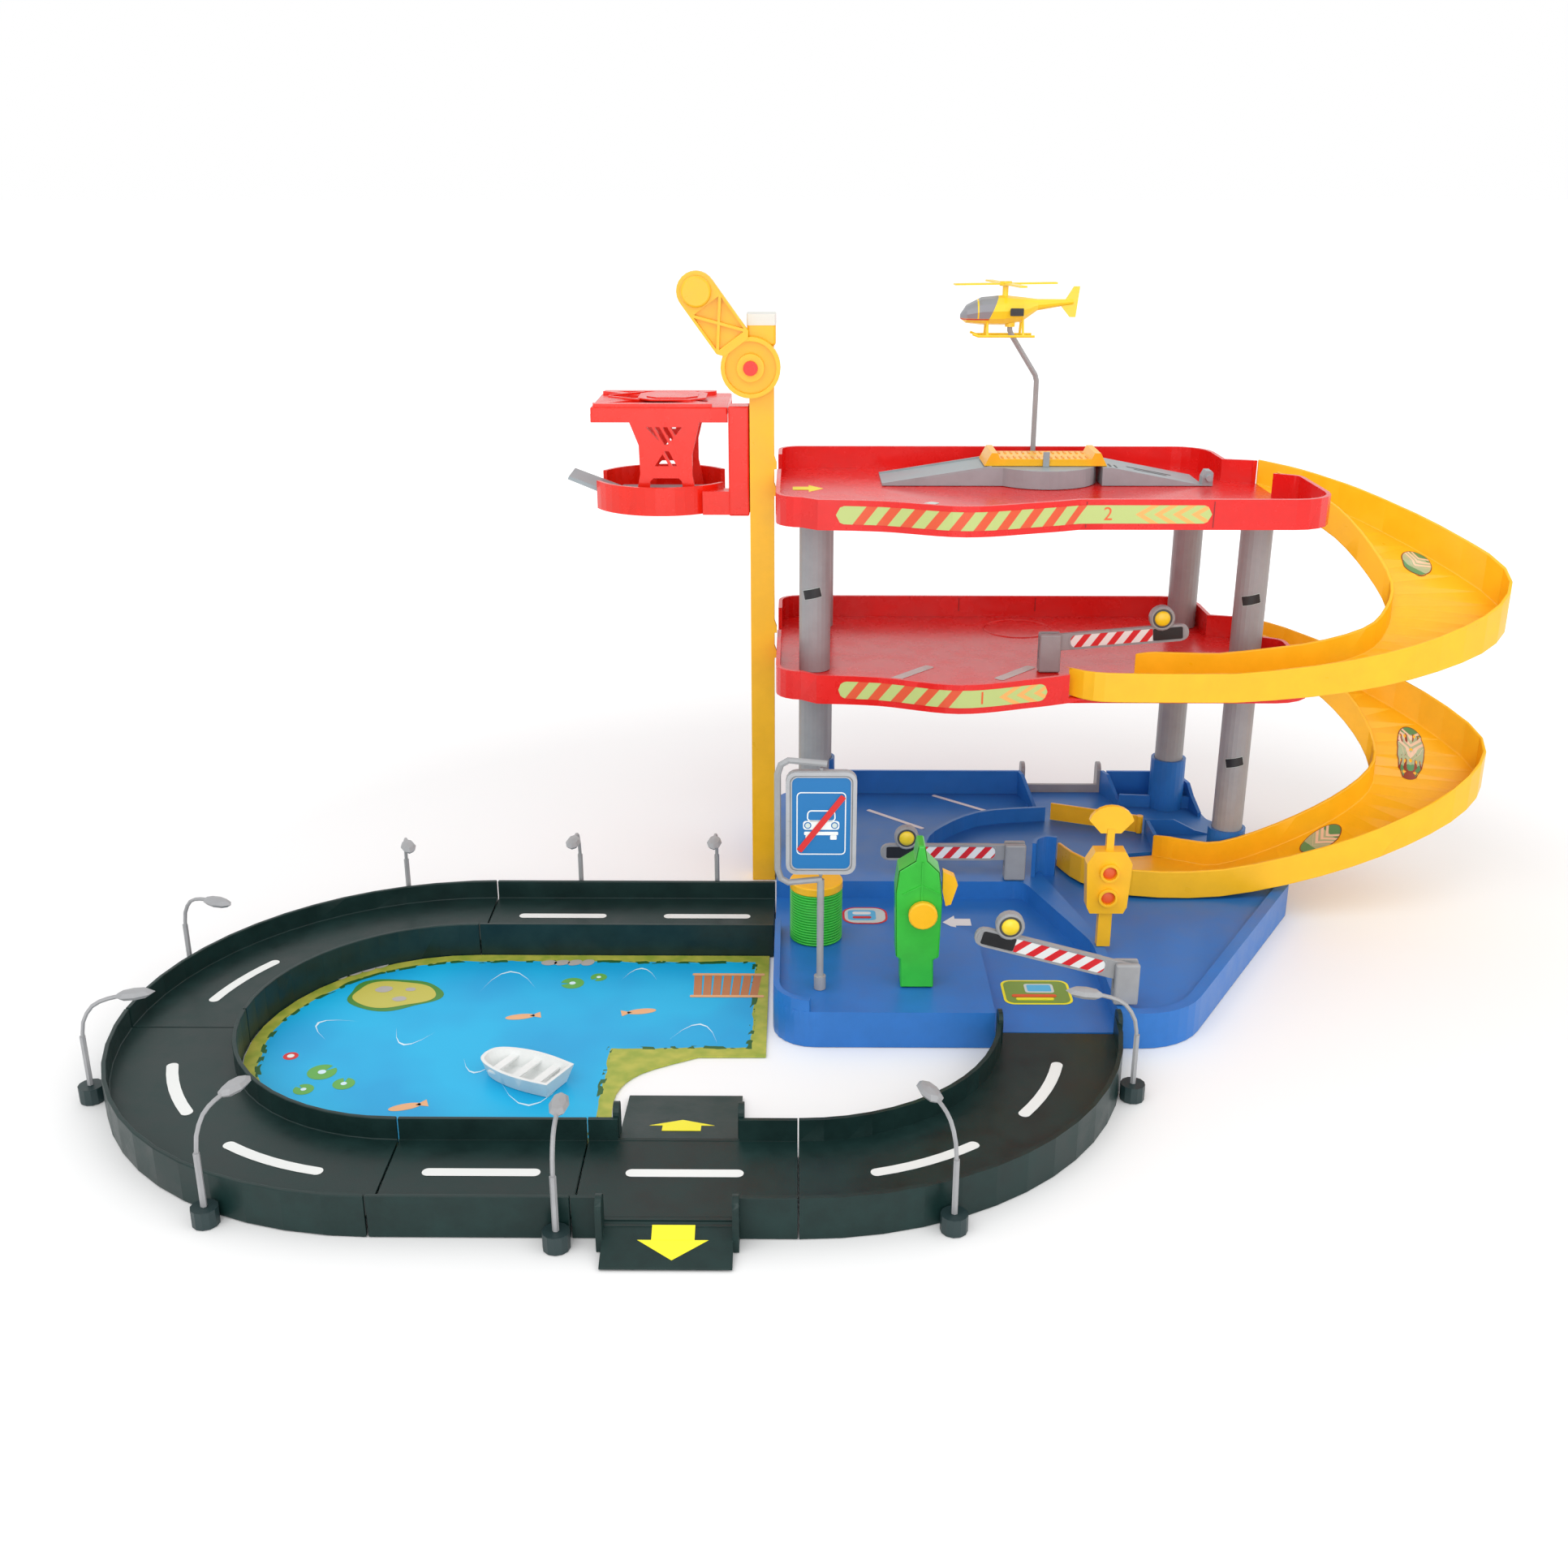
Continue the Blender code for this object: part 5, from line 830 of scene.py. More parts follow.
ramp_oval("oval_lower_2", (0.1931, 0.0241, 0.0451), 0.0280, 0.0170, 22, "lower_ramp")
print("labels and ovals:", how_many("label_", "oval_"))

# %% [markdown]
# ## Barriers
#
# Each arm is a framed channel with red and white bars, a bare dark label near its tip, and a round
# yellow reflector in a grey ring, with a dark disc of painted shade round the reflector. All of it rides on
# the arm's body.

# %% Barriers
ARM_HALF_THICK = 0.0015
ARM_PRINT_START = 0.0125
ARM_PRINT_END = 0.0866
ARM_LABEL_LENGTH = 0.0205
ARM_PRINT_HEIGHT = 0.0080
REFLECTOR_AT = (0.0716, 0.0105)
BARRIER_WHITE = (0.84, 0.85, 0.84)
BARRIER_RED = (0.70, 0.012, 0.020)
BARRIER_PRINTS = {
    side: banded("barrier_print_" + word, BARRIER_WHITE, (
        (BARRIER_RED, {"Slant": side * 0.85, "Period": 0.0105, "Width": 0.0050}),))
    for side, word in ((1, "right"), (-1, "left"))}


def on_arm(obj, pivot, side, lift, front):
    """Turn a plate drawn in the arm's plane and put it on the arm. Its x runs from the pivot to the tip."""
    if side < 0:
        move_points(obj, lambda co: Vector((-co.x, co.y, co.z)))
    turned = Matrix.Rotation(radians(-side * lift), 4, "Y") @ Matrix.Rotation(pi / 2, 4, "X")
    obj.matrix_world = Matrix.Translation((pivot[0], pivot[1] - front, pivot[2])) @ turned
    settle(obj)
    return obj


def barrier_trim(place_name, body, pivot, side, lift):
    """The frame, the stripes, the label and the reflector of one arm, with a dark disc of painted shade round
    the reflector, on its front and its back.
    """
    middle = (ARM_PRINT_START + ARM_PRINT_END) / 2
    length = ARM_PRINT_END - ARM_PRINT_START
    for face, front in (("front", ARM_HALF_THICK), ("back", -ARM_HALF_THICK)):
        outward = 1 if face == "front" else -1
        frame_piece = ring_plate(length + 0.0010, 0.0108, 0.0048, 0.0011, 0.0004)
        place(frame_piece, (middle, 0, 0))
        stripes = start_plate(length - 0.0012 - ARM_LABEL_LENGTH, ARM_PRINT_HEIGHT, 0.0004, PRINT_THICKNESS)
        keep_flat_places(stripes)
        place(stripes, (middle - ARM_LABEL_LENGTH / 2, 0, 0))
        label = start_plate(ARM_LABEL_LENGTH - 0.0016, ARM_PRINT_HEIGHT - 0.0002, 0.0010, PRINT_THICKNESS * 2)
        place(label, (ARM_PRINT_END - ARM_LABEL_LENGTH / 2 - 0.0012, 0, 0))
        clear()
        bpy.ops.mesh.primitive_uv_sphere_add(segments=28, ring_count=14, radius=1)
        reflector = bpy.context.object
        reflector.scale = (0.0050, 0.0050, 0.0022)
        settle(reflector)
        bpy.ops.object.shade_smooth()
        place(reflector, (*REFLECTOR_AT, 0.0012))
        bpy.ops.mesh.primitive_torus_add(major_radius=0.0068, minor_radius=0.0007, major_segments=40,
                                         minor_segments=10)
        rim = bpy.context.object
        bpy.ops.object.shade_smooth()
        place(rim, (*REFLECTOR_AT, 0.0012))
        # A flat dark disc round the reflector, inside its ring: painted shade of the hollow there.
        shadow = start_disc(0.0062, PRINT_THICKNESS)
        place(shadow, (*REFLECTOR_AT, 0.0012))
        for obj, kind, material in ((frame_piece, "frame", GREY), (stripes, "stripes", BARRIER_PRINTS[side]),
                                    (label, "label", BLACK_INK), (reflector, "reflector", BRIGHT_YELLOW),
                                    (rim, "rim", GREY), (shadow, "recess", DARK)):
            if outward < 0:
                move_points(obj, lambda co: Vector((co.x, co.y, -co.z)))
            on_arm(obj, pivot, side, lift, front)
            done(obj, place_name + "_" + kind + "_" + face, material, body)


barrier_trim("level_1_arm", "level_1_arm", (0.0070, 0.0320, 0.1780), 1, 5)
barrier_trim("base_rear_arm", "base_rear_arm", (-0.0110, 0.0120, 0.0410), -1, 0)
barrier_trim("base_front_arm", "base_front_arm", (0.0300, -0.1600, 0.0410), -1, 15)
print("three barriers trimmed")

# %% [markdown]
# ## The road sign
#
# A framed blue panel says that the road for cars ends: a plain car seen from the front, crossed by a
# red bar. It rides on the sign's body and swivels with it.

# %% The road sign
sign_low, sign_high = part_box("sign_panel")
SIGN_X = (sign_low[0] + sign_high[0]) / 2
SIGN_Z = 0.1245
SIGN_FRONT = sign_low[1]


def on_sign(obj, x, z, rise, name, material, turn=0.0):
    """Put a plate, drawn flat at the origin, on the panel's front."""
    place(obj, (0, 0, 0), (0, 0, turn))
    place(obj, (SIGN_X + x, SIGN_FRONT - rise, SIGN_Z + z), (pi / 2, 0, 0))
    return done(obj, name, material, "sign")


on_sign(ring_plate(0.0388, 0.0605, 0.0058, 0.0021, 0.0010), 0, 0, 0, "sign_frame", SILVER)
on_sign(ring_plate(0.0336, 0.0553, 0.0040, 0.0007, 0.0006), 0, 0, 0, "sign_inner_frame", SILVER)
on_sign(start_plate(0.0330, 0.0545, 0.0036, PRINT_THICKNESS), 0, 0, 0.0001, "sign_blue", BLUE_INK)
on_sign(ring_plate(0.0272, 0.0370, 0.0026, 0.0006, PRINT_THICKNESS), 0, 0, 0.00025, "sign_line", WHITE_INK)
CAR_Z = -0.0010
on_sign(start_plate(0.0200, 0.0052, 0.0016, PRINT_THICKNESS), 0, CAR_Z, 0.00025, "sign_car_body", WHITE_INK)
on_sign(start_plate(0.0188, 0.0020, 0.0006, PRINT_THICKNESS), 0, CAR_Z - 0.0048, 0.00025, "sign_car_bumper",
        WHITE_INK)
cab = ring_plate(0.0158, 0.0066, 0.0022, 0.0007, PRINT_THICKNESS)
move_points(cab, lambda co: Vector((co.x * (1 - 14 * max(co.y, 0)), co.y, co.z)))
on_sign(cab, 0, CAR_Z + 0.0056, 0.00025, "sign_car_cab", WHITE_INK)
for side in (-1, 1):
    for word, radius, rise, material in (("lamp_", 0.0020, 0.0004, BLUE_INK),
                                         ("lens_", 0.0014, 0.00055, PALE_INK)):
        on_sign(start_disc(radius, PRINT_THICKNESS, 20), side * 0.0074, CAR_Z, rise,
                "sign_car_" + word + str(side), material)
    on_sign(start_plate(0.0036, 0.0026, 0.0005, PRINT_THICKNESS), side * 0.0068, CAR_Z - 0.0072, 0.00025,
            "sign_car_wheel_" + str(side), WHITE_INK)
on_sign(start_plate(0.0405, 0.0034, 0.0006, PRINT_THICKNESS), 0, 0, 0.0007, "sign_red_bar", RED_INK,
        radians(53))
print("sign pieces:", how_many("sign_") - 2)

# %% [markdown]
# ## The roller
#
# The roller's drum has nineteen fine ribs and a flat yellow cap, so it is modelled again here and
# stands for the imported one. Each rib is a torus joined to a plain cylinder.

# %% The roller
roller_low, roller_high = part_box("roller")
ROLLER_AXIS = ((roller_low[0] + roller_high[0]) / 2, (roller_low[1] + roller_high[1]) / 2)
ROLLER_RADIUS = (roller_high[0] - roller_low[0]) / 2
RIB_COUNT = 19
CAP_HEIGHT = 0.0052
rib_zone = roller_high[2] - CAP_HEIGHT - roller_low[2]
clear()
bpy.ops.mesh.primitive_cylinder_add(vertices=48, radius=ROLLER_RADIUS - 0.0009, depth=rib_zone,
                                    location=(*ROLLER_AXIS, roller_low[2] + rib_zone / 2))
drum = [bpy.context.object]
for rib in range(RIB_COUNT):
    height = roller_low[2] + (rib + 0.5) * rib_zone / RIB_COUNT
    bpy.ops.mesh.primitive_torus_add(location=(*ROLLER_AXIS, height), major_radius=ROLLER_RADIUS - 0.0008,
                                     minor_radius=0.00072, major_segments=48, minor_segments=8)
    drum.append(bpy.context.object)
drum = merged(drum)
bpy.ops.object.shade_smooth()
done(drum, "ribbed_drum", GREEN, "roller_drum")
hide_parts("roller")
cap = start_disc(ROLLER_RADIUS, CAP_HEIGHT, 48)
place(cap, (*ROLLER_AXIS, roller_high[2] - CAP_HEIGHT))
round_cap = cap.modifiers.new("round", "BEVEL")
round_cap.width = 0.0008
round_cap.segments = 3
round_cap.angle_limit = radians(40)
apply_all(cap)
done(cap, "roller_cap", YELLOW, "roller_drum")
print("drum with", RIB_COUNT, "ribs")

# %% [markdown]
# ## The traffic light's lenses
#
# The two lamps of the traffic light are shallow orange domes. Each is a sphere, squashed flat and let
# into the housing's front.

# %% The traffic light's lenses
EYE_X = 0.0305
EYE_FLOOR = -0.0925
for height in (0.0560, 0.0720):
    clear()
    bpy.ops.mesh.primitive_uv_sphere_add(segments=24, ring_count=12, radius=1)
    lens = bpy.context.object
    lens.scale = (0.0040, 0.0014, 0.0040)
    settle(lens)
    bpy.ops.object.shade_smooth()
    place(lens, (EYE_X, EYE_FLOOR, height))
    done(lens, "light_lens_" + str(round(height * 1000)), ORANGE_INK)
print("lenses:", how_many("light_lens_"))

# %% [markdown]
# ## The pump's front
#
# The pump's front has an upright crease, and two folds run down from it to the sides. They are raised
# lines of the mould, so each is a thin bar of the same green plastic.

# %% The pump's front
pump_low, pump_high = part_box("pump_body")
crease = start_plate(0.0009, 0.0300, 0.0002, 0.0007)
CREASE_X = (pump_low[0] + pump_high[0]) / 2 + 0.0015
place(crease, (CREASE_X, pump_low[1], 0.0860), (pi / 2, 0, 0))
done(crease, "pump_crease", GREEN)
for index, turn in enumerate((28, -28)):
    fold = start_plate(0.0120, 0.0008, 0.0002, 0.0006)
    place(fold, (0, 0, 0), (0, 0, radians(turn)))
    place(fold, (CREASE_X - math.copysign(0.0053, turn), pump_low[1], 0.0838), (pi / 2, 0, 0))
    done(fold, "pump_fold_" + str(index + 1), GREEN)
print("a crease and", how_many("pump_fold_"), "folds")

# %% [markdown]
# ## The mast's cap and the lift's roof
#
# The mast ends in a milky cap, coloured pale all over as painted reflection of the glare on its top. The
# roof of the lift's cab has a raised panel with a smaller one on it, and two ribs that meet at an angle.
# The platform inside carries a striped sticker. The roof rides with the lift, and the sticker also tips
# with the platform.

# %% The mast's cap and the lift's roof
mast_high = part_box("lift_mast")[1]
# The cap is real; its pale colour is painted reflection of the glare on its top.
mast_cap = start_plate(0.0182, 0.0168, 0.0012, 0.0068)
place(mast_cap, (-0.1774, 0.0650, mast_high[2] - 0.0067))
done(mast_cap, "mast_cap", PALE_GLARE)

ROOF_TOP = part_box("lift_cab")[1][2]
for name, x, y, width, depth, corner in (("roof_panel", -0.2360, 0.1020, 0.0440, 0.0420, 0.0090),
                                         ("roof_panel_inner", -0.2360, 0.1020, 0.0330, 0.0300, 0.0070)):
    rise = 0.0010 if name == "roof_panel" else 0.0016
    panel = start_plate(width, depth, corner, rise, segments=1)
    place(panel, (x, y, ROOF_TOP - 0.0001))
    done(panel, name, LIFT_RED, "lift_car")
for index, (x, y, turn) in enumerate(((-0.2670, 0.1130, 38), (-0.2670, 0.0910, -38))):
    rib = start_plate(0.0270, 0.0018, 0.0004, 0.0011)
    place(rib, (x, y, ROOF_TOP - 0.0001), (0, 0, radians(turn)))
    done(rib, "roof_rib_" + str(index + 1), LIFT_RED, "lift_car")

sticker_stack("platform_sticker", (-0.2190, 0.0960), "lift_floor", (
    (0.0150, 0.0200, 0.0030, 0, 0, PALE_INK), (0.0020, 0.0130, 0.0008, -0.0035, 0, ORANGE_INK),
    (0.0020, 0.0130, 0.0008, 0.0005, 0, ORANGE_INK)), "lift_platform")
print("roof pieces:", how_many("roof_"))

# %% [markdown]
# ## The turntable and the launch ramp
#
# The yellow turntable has two rows of fine ribs for the wheels and a grey marker on its front edge. A
# dark ring of painted shade lies in the gap round it. The lead-on ramp has a low lip on either side, and
# the launch ramp has a few dark marks.

# %% The turntable and the launch ramp
turntable_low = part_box("turntable")[0]
TABLE_X = 0.0090
TABLE_Y = 0.1210
marker = start_plate(0.0042, 0.0014, 0.0004, 0.0095)
place(marker, (TABLE_X, turntable_low[1] - 0.0009, 0.2784))
done(marker, "turntable_marker", LIGHT_GREY, "turntable_top")
for row in (-0.0100, 0.0100):
    ribs = []
    for step in range(15):
        rib = start_plate(0.0012, 0.0090, 0.0002, 0.0006)
        ribs.append(place(rib, (TABLE_X - 0.0280 + step * 0.0040, TABLE_Y + row, 0.2830)))
    done(merged(ribs), "turntable_ribs_" + ("front" if row < 0 else "back"), AMBER, "turntable_top")
# A thin dark ring: painted shade in the gap round the turntable.
GAP_SHADE_RADIUS = 0.0342
clear()
bpy.ops.mesh.primitive_torus_add(location=(TABLE_X, TABLE_Y, 0.2780), major_radius=GAP_SHADE_RADIUS,
                                 minor_radius=0.0003, major_segments=72, minor_segments=6)
done(bpy.context.object, "turntable_gap_shade", DARK)
for side in (-1, 1):
    lip = start_plate(0.0730, 0.0012, 0.0003, 0.0016)
    place(lip, (0, 0, 0), (0, math.atan2(-0.0114, 0.072), 0))
    place(lip, (-0.0630, TABLE_Y + side * 0.0212, 0.2720))
    done(lip, "lead_lip_" + ("back" if side > 0 else "front"), LIGHT_GREY)
LAUNCH_MARKS = ((0.0520, 0.1090, 0.0012, 0.0100), (0.0560, 0.1090, 0.0012, 0.0100),
                (0.0800, 0.1180, 0.0300, 0.0016), (0.0800, 0.1120, 0.0220, 0.0012))
for number, (x, y, width, depth) in enumerate(LAUNCH_MARKS, 1):
    tick = start_plate(width, depth, 0.0004)
    place(tick, (x, y, 0.30))
    done(stuck(tick, "launch_ramp"), "launch_mark_" + str(number), DARK)
print("turntable pieces:", how_many("turntable_") - 1, "and marks on the launch ramp:", len(LAUNCH_MARKS))

# %% [markdown]
# ## The helicopter's label
#
# The label on the helicopter's side is left bare: a dark plate that rides on its body.

# %% The helicopter's label
heli_label = start_plate(0.0090, 0.0050, 0.0006, PRINT_THICKNESS)
place(heli_label, (-0.0080, 0.1555, 0.3725), (pi / 2, 0, 0))
done(heli_label, "heli_label", BLACK_INK, "helicopter")
print("label on the", heli_label.name.split("_")[0])

# %% [markdown]
# ## The printed mat
#
# The mat shows a pond from above. Its water keeps a distance from the mat's edge, so the shore is
# worked out from the mat's outline: a half circle at the left, straight sides, and a corner cut out
# at the front right. Noise makes the shoreline wander.

# %% The shore group
MAT_CENTRE = LEFT_CENTRE
MAT_RADIUS = 0.1095
MAT_RIGHT = -0.1715
CORNER_X = -0.2500
CORNER_Y = -0.1860


def shore_group():
    """How far a point of the mat is from the mat's edge, in metres, with a wandering error."""
    group, tree, link, given, put = new_group("shore", (("Wander", 0.006),), ("Distance", "Patches"))
    spot = tree.new("ShaderNodeTexCoord").outputs["Object"]
    parts = tree.new("ShaderNodeSeparateXYZ")
    link(spot, parts.inputs[0])
    x, y = parts.outputs["X"], parts.outputs["Y"]
    calc = partial(math_node, tree, link)
    left = calc("MINIMUM", calc("SUBTRACT", x, MAT_CENTRE[0]), 0.0)
    up = calc("SUBTRACT", y, MAT_CENTRE[1])
    squares = calc("ADD", calc("MULTIPLY", left, left), calc("MULTIPLY", up, up))
    round_side = calc("SUBTRACT", MAT_RADIUS, calc("SQRT", squares))
    right_side = calc("SUBTRACT", MAT_RIGHT, x)
    corner = calc("MAXIMUM", calc("SUBTRACT", CORNER_X, x), calc("SUBTRACT", y, CORNER_Y))
    nearest = calc("MINIMUM", calc("MINIMUM", round_side, right_side), corner)
    wander = noise(tree, link, spot, 3, 48)
    error = calc("MULTIPLY", calc("SUBTRACT", wander.outputs["Fac"], 0.5), given["Wander"])
    link(calc("ADD", nearest, error), put["Distance"])
    link(noise(tree, link, spot, 2, 95).outputs["Fac"], put["Patches"])
    return group


# %% The mat's print
def pond_print():
    """Olive shore, dark weed at the waterline, and blue water that is a little deeper in patches."""
    made, shader, new, link = blank_material("pond_print")
    shore = new.new("ShaderNodeGroup")
    shore.node_tree = shore_group()
    distance = shore.outputs["Distance"]
    patches = shore.outputs["Patches"]
    deep = new.new("ShaderNodeTexNoise")
    deep.inputs["Scale"].default_value = 14
    spot = new.new("ShaderNodeTexCoord")
    link(spot.outputs["Object"], deep.inputs["Vector"])
    calc = partial(math_node, new, link)
    depth = map_range(new, link, deep.outputs["Fac"], 0.40, 0.65, 0, 1)
    water = mixed(new, link, depth, (0.000, 0.460, 0.800), (0.000, 0.370, 0.720))
    dryness = map_range(new, link, patches, 0.35, 0.65, 0, 1)
    bank = mixed(new, link, dryness, (0.300, 0.380, 0.040), (0.480, 0.480, 0.070))
    in_water = calc("GREATER_THAN", distance, 0.0085)
    weed_line = calc("LESS_THAN", calc("ABSOLUTE", calc("SUBTRACT", distance, 0.0090)), 0.0016)
    weed = calc("MULTIPLY", weed_line, calc("GREATER_THAN", patches, 0.50))
    colour = mixed(new, link, weed, mixed(new, link, in_water, bank, water), (0.015, 0.110, 0.020))
    link(colour, shader.inputs["Base Color"])
    shader.inputs["Roughness"].default_value = 0.48
    return made


nodes["lake_mat"].data.materials[0] = pond_print()
print("the mat's print has", len(nodes["lake_mat"].data.materials[0].node_tree.nodes), "nodes")

# %% [markdown]
# ## Solids with two finishes
#
# A street lamp is a grey pole in a dark foot, and the helicopter's shell has a glass nose with a red
# line under it. Each is one solid, so its plastic is copied, and the copy changes colour by place, read
# from Object coordinates.

# %% Solids with two finishes
def copied_plastic(name, base):
    """A copy of a plastic, its nodes, its link function, its old colour, and the X and Z of a spot on it."""
    made = base.copy()
    made.name = name
    new = made.node_tree.nodes
    link = made.node_tree.links.new
    old = new["Principled BSDF"].inputs["Base Color"].links[0].from_socket
    spot = new.new("ShaderNodeTexCoord")
    parts = new.new("ShaderNodeSeparateXYZ")
    link(spot.outputs["Object"], parts.inputs[0])
    return made, new, link, old, parts.outputs["X"], parts.outputs["Z"]


def by_height(name, base, limit, below):
    """A copy of a plastic whose lowest part has another colour, in Object coordinates."""
    made, new, link, old, x, z = copied_plastic(name, base)
    low = math_node(new, link, "LESS_THAN", z, limit)
    link(mixed(new, link, low, old, below), new["Principled BSDF"].inputs["Base Color"])
    return made


def heli_finish():
    """Yellow shell with a grey glass nose, split by a frame, and a red line under it."""
    made, new, link, old, x, z = copied_plastic("helicopter_shell", BRIGHT_YELLOW)
    calc = partial(math_node, new, link)
    edge = calc("ADD", x, calc("MULTIPLY", z, -GLASS_SLOPE))
    ahead = calc("LESS_THAN", edge, GLASS_EDGE - GLASS_SLOPE * 0.3725)
    above = calc("GREATER_THAN", z, GLASS_FOOT)
    frame_bar = calc("GREATER_THAN", calc("ABSOLUTE", calc("SUBTRACT", x, GLASS_EDGE - 0.0095)), 0.0005)
    glass = calc("MULTIPLY", calc("MULTIPLY", ahead, above), frame_bar)
    near_foot = calc("LESS_THAN", calc("ABSOLUTE", calc("SUBTRACT", z, GLASS_FOOT - 0.0006)), 0.0005)
    line = calc("MULTIPLY", ahead, near_foot)
    colour = mixed(new, link, glass, old, (0.270, 0.290, 0.320))
    link(mixed(new, link, line, colour, (0.60, 0.05, 0.04)), new["Principled BSDF"].inputs["Base Color"])
    return made


GLASS_EDGE = -0.0240
GLASS_FOOT = 0.3680
GLASS_SLOPE = 0.45
LAMP_FOOT_TOP = 0.0092
nodes["heli_body"].data.materials[0] = heli_finish()
lamp_finish = by_height("street_lamp_finish", GREY, LAMP_FOOT_TOP, (0.014, 0.034, 0.036))
for name, node in nodes.items():
    if name.startswith("street_lamp"):
        node.data.materials[0] = lamp_finish
print("street lamps:", how_many("street_lamp"))

# %% [markdown]
# ## What floats on the pond
#
# The motifs are this script's own: an islet with stones, lily pads, two fish, a jetty, a buoy, and
# pale ripples. Each is a flat shape on the mat.

# %% Motifs on the mat
SAND_INK = ink("sand_ink", (0.560, 0.520, 0.090))
MOSS_INK = ink("moss_ink", (0.060, 0.240, 0.030))
LEAF_INK = ink("leaf_ink", (0.110, 0.400, 0.060))
STONE_INK = ink("stone_ink", (0.450, 0.430, 0.400))
PLANK_INK = ink("plank_ink", (0.520, 0.200, 0.080))
FISH_INK = ink("fish_ink", (0.800, 0.420, 0.200))
FOAM_INK = ink("foam_ink", (0.660, 0.850, 0.920))


def on_mat(obj, x, y, name, material, turn=0.0, layer=1):
    """Lay a flat shape on the mat, one of a few layers up."""
    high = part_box("lake_mat")[1][2] + 0.0001 * layer
    place(obj, (x, y, high), (0, 0, radians(turn)))
    return done(obj, name, material)


def blob(length, width, wobble, lobes, seed):
    """A flat round shape whose edge wanders in and out."""
    disc = start_disc(0.5, 0, 48)

    def wandered(co):
        turn = math.atan2(co.y, co.x)
        reach = 1 + wobble * (sin(lobes * turn + seed) + 0.6 * sin((lobes + 2) * turn + 2.3 * seed))
        return Vector((co.x * length * reach, co.y * width * reach, 0))

    return move_points(disc, wandered)


def lily_pad(index, x, y, size):
    """A round leaf with a notch, and a pale disc at its heart."""
    leaf = start_disc(size, 0, 32)
    move_points(leaf, lambda co: co * 0.25 if abs(math.atan2(co.y, co.x)) < 0.15 else co)
    on_mat(leaf, x, y, "lily_" + str(index), LEAF_INK, 47 * index)
    on_mat(start_disc(size * 0.28, 0, 20), x, y, "lily_heart_" + str(index), FOAM_INK, 0, 2)


def fish(index, x, y, turn):
    """A plain fish: an oval body and a three-cornered tail."""
    body = blob(0.0170, 0.0064, 0.0, 1, 0)
    clear()
    bpy.ops.mesh.primitive_circle_add(vertices=3, radius=0.0042, fill_type="NGON")
    tail = place(bpy.context.object, (0.0098, 0, 0), (0, 0, radians(90)))
    on_mat(merged([body, tail]), x, y, "fish_" + str(index), FISH_INK, turn)


def ripple(index, x, y, length, turn):
    """A thin pale crescent on the water."""
    line = divided(start_plate(length, 0.0016, 0.0007), 5)

    def crescent(co):
        return Vector((co.x, co.y * (1 - abs(2 * co.x / length)) - 3 * co.x * co.x / length, 0))

    on_mat(move_points(line, crescent), x, y, "ripple_" + str(index), FOAM_INK, turn)


on_mat(blob(0.0560, 0.0400, 0.07, 3, 1.2), -0.3950, -0.1150, "islet_moss", MOSS_INK)
on_mat(blob(0.0490, 0.0330, 0.06, 3, 1.6), -0.3950, -0.1150, "islet_sand", SAND_INK, 0, 2)
ISLET_STONES = ((-0.4020, -0.1090, 0.0100), (-0.3900, -0.1210, 0.0080), (-0.3860, -0.1090, 0.0060))
LILIES = ((-0.4130, -0.2050, 0.0080), (-0.3980, -0.2170, 0.0060), (-0.4180, -0.2230, 0.0055),
          (-0.2900, -0.1000, 0.0070), (-0.2750, -0.0920, 0.0050))
for index, (x, y, size) in enumerate(ISLET_STONES):
    on_mat(blob(size, size * 0.8, 0.05, 2, index), x, y, "islet_stone_" + str(index + 1), STONE_INK, 0, 3)
for number, spot_and_size in enumerate(LILIES, 1):
    lily_pad(number, *spot_and_size)
fish(1, -0.3150, -0.1420, 12)
fish(2, -0.2450, -0.1350, -168)
fish(3, -0.3600, -0.2400, 20)
RIPPLES = ((-0.3300, -0.0850, 0.034, 6), (-0.4300, -0.1500, 0.026, 60), (-0.2100, -0.1500, 0.028, -8),
           (-0.3750, -0.1750, 0.024, 170), (-0.2950, -0.2380, 0.036, 184), (-0.2500, -0.0800, 0.022, 0),
           (-0.3300, -0.2050, 0.020, 175))
for number, run in enumerate(RIPPLES, 1):
    ripple(number, *run)
JETTY_SPOT = (-0.1960, -0.1020)
for index in range(7):
    plank = start_plate(0.0048, 0.0250, 0.0008)
    on_mat(plank, JETTY_SPOT[0] - 0.0180 + index * 0.0058, JETTY_SPOT[1], "jetty_plank_" + str(index + 1),
           PLANK_INK, 2 - index)
for side, off in (("front", -0.0140), ("back", 0.0140)):
    rail = start_plate(0.0440, 0.0030, 0.0010)
    on_mat(rail, JETTY_SPOT[0], JETTY_SPOT[1] + off, "jetty_rail_" + side, FISH_INK, 0, 2)
BUOY_SPOT = (-0.4350, -0.1880)
on_mat(start_disc(0.0042, 0, 24), *BUOY_SPOT, "buoy", RED_INK)
on_mat(start_disc(0.0020, 0, 20), *BUOY_SPOT, "buoy_top", WHITE_INK, 0, 2)
STONE_RUNS = (((-0.4330, -0.0930), (-0.4110, -0.0770)), ((-0.3080, -0.0730), (-0.2840, -0.0725)))
for run, (first, last) in enumerate(STONE_RUNS):
    for step in range(4):
        share = step / 3
        x = first[0] + (last[0] - first[0]) * share
        y = first[1] + (last[1] - first[1]) * share
        stone = blob(0.0094, 0.0072, 0.04, 2, step + run)
        on_mat(stone, x, y, "shore_stone_" + str(run * 4 + step + 1), STONE_INK, 20 * step, 2)
print("motifs on the mat:", how_many("islet", "lily", "fish", "ripple", "jetty", "buoy", "shore"))

# %% [markdown]
# ## Floor and light
#
# The photo was taken in a white studio. The floor is a plain pale sheet that goes far beyond the
# picture, and it keeps the toy's soft shadows. The world is white to the camera and to mirror-like
# rays, and a little dimmer as a light, so that colours render about as they are written.

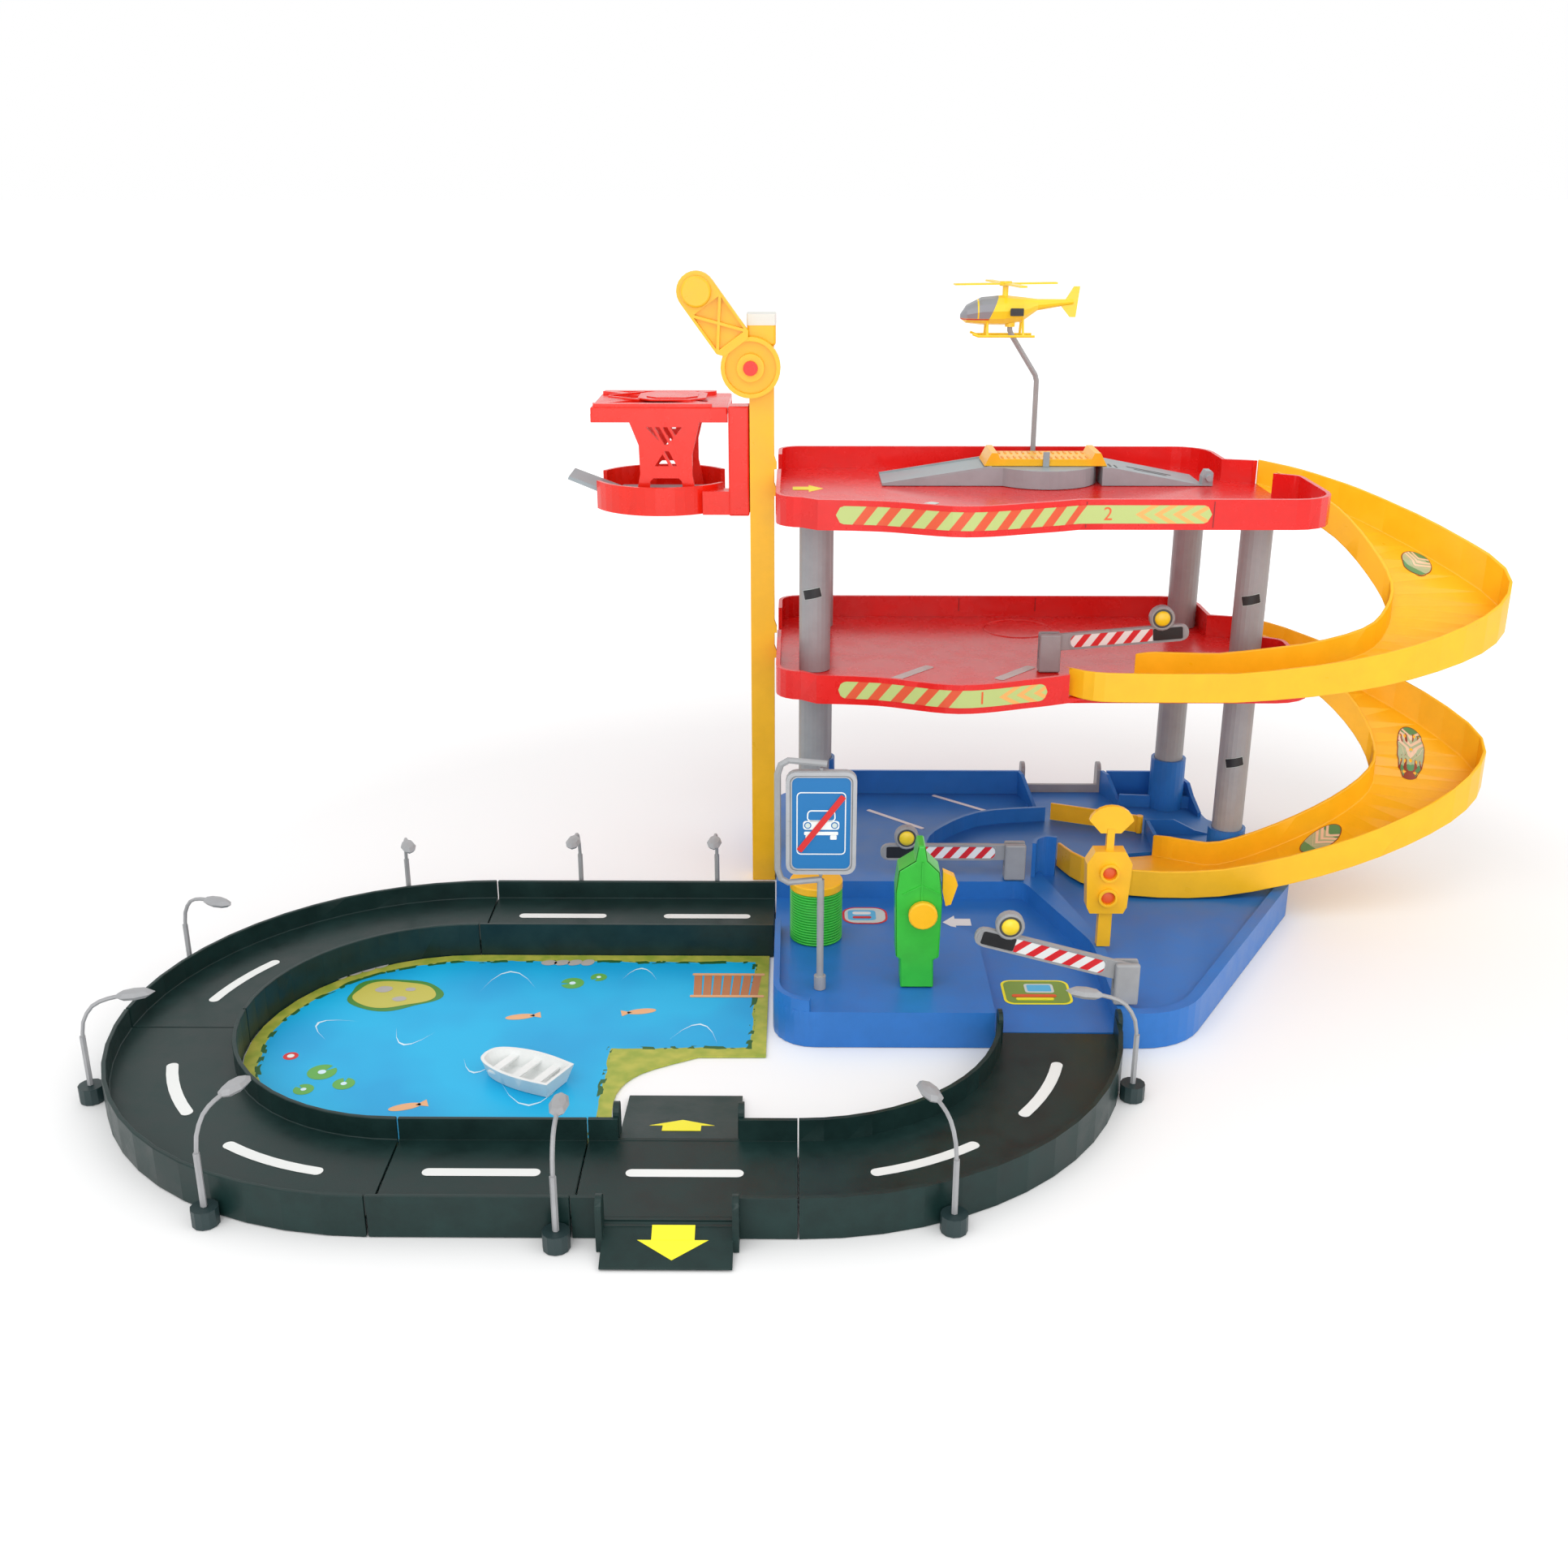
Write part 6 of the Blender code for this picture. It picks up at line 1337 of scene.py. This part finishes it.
# %% Floor and light
bpy.ops.mesh.primitive_plane_add(size=1)
floor = bpy.context.object
floor.name = "floor"
floor.scale = (60, 60, 1)
floor.location = (0, 0, -0.0004)
settle(floor)
FLOOR_LIT = 0.50
FLOOR_WHITE = 1.00
FLOOR_GLOW = 0.30
floor_material, shader, new, link = blank_material("pale_floor")
shader.inputs["Base Color"].default_value = (0.95, 0.95, 0.95, 1)
shader.inputs["Roughness"].default_value = 0.85
shader.inputs["Specular IOR Level"].default_value = 0.2
spot = new.new("ShaderNodeTexCoord")
spread = new.new("ShaderNodeVectorMath")
spread.operation = "DISTANCE"
spread.inputs[1].default_value = (-0.1, -0.1, 0)
link(spot.outputs["Object"], spread.inputs[0])
far_off = map_range(new, link, spread.outputs["Value"], FLOOR_LIT, FLOOR_WHITE, 0, FLOOR_GLOW)
floor_rays = new.new("ShaderNodeLightPath")
glow = math_node(new, link, "MULTIPLY", far_off, math_node(
    new, link, "MAXIMUM", floor_rays.outputs["Is Camera Ray"], floor_rays.outputs["Is Glossy Ray"]))
shader.inputs["Emission Color"].default_value = (1, 1, 1, 1)
link(glow, shader.inputs["Emission Strength"])
floor.data.materials.append(floor_material)

WORLD_LIGHT = 0.90
world = bpy.data.worlds.new("studio")
scene.world = world
world.use_nodes = True
world_tree = world.node_tree
backdrop = world_tree.nodes["Background"]
backdrop.inputs["Color"].default_value = (1, 1, 1, 1)
rays = world_tree.nodes.new("ShaderNodeLightPath")
new, link = world_tree.nodes, world_tree.links.new
seen = math_node(new, link, "MAXIMUM", rays.outputs["Is Camera Ray"], rays.outputs["Is Glossy Ray"])
seen = math_node(new, link, "MAXIMUM", seen, rays.outputs["Is Transmission Ray"])
link(map_range(new, link, seen, 0, 1, WORLD_LIGHT, 1.0), backdrop.inputs["Strength"])


def soft_lamp(name, location, target, size, power):
    """A square area lamp that looks at a point."""
    bpy.ops.object.light_add(type="AREA", location=location)
    lamp = bpy.context.object
    lamp.name = name
    lamp.data.shape = "SQUARE"
    lamp.data.size = size
    lamp.data.energy = power
    lamp.rotation_euler = (Vector(target) - Vector(location)).to_track_quat("-Z", "Y").to_euler()
    return lamp


soft_lamp("key_lamp", (-0.9, -1.2, 1.9), (-0.1, -0.1, 0.1), 1.4, 8.5)
soft_lamp("fill_lamp", (1.3, -0.9, 1.3), (-0.1, -0.1, 0.1), 1.2, 4)
soft_lamp("front_lamp", (-0.1, -2.0, 0.6), (-0.1, 0.0, 0.15), 1.2, 10)
print("lamps:", how_many("key_lamp", "fill_lamp", "front_lamp"))
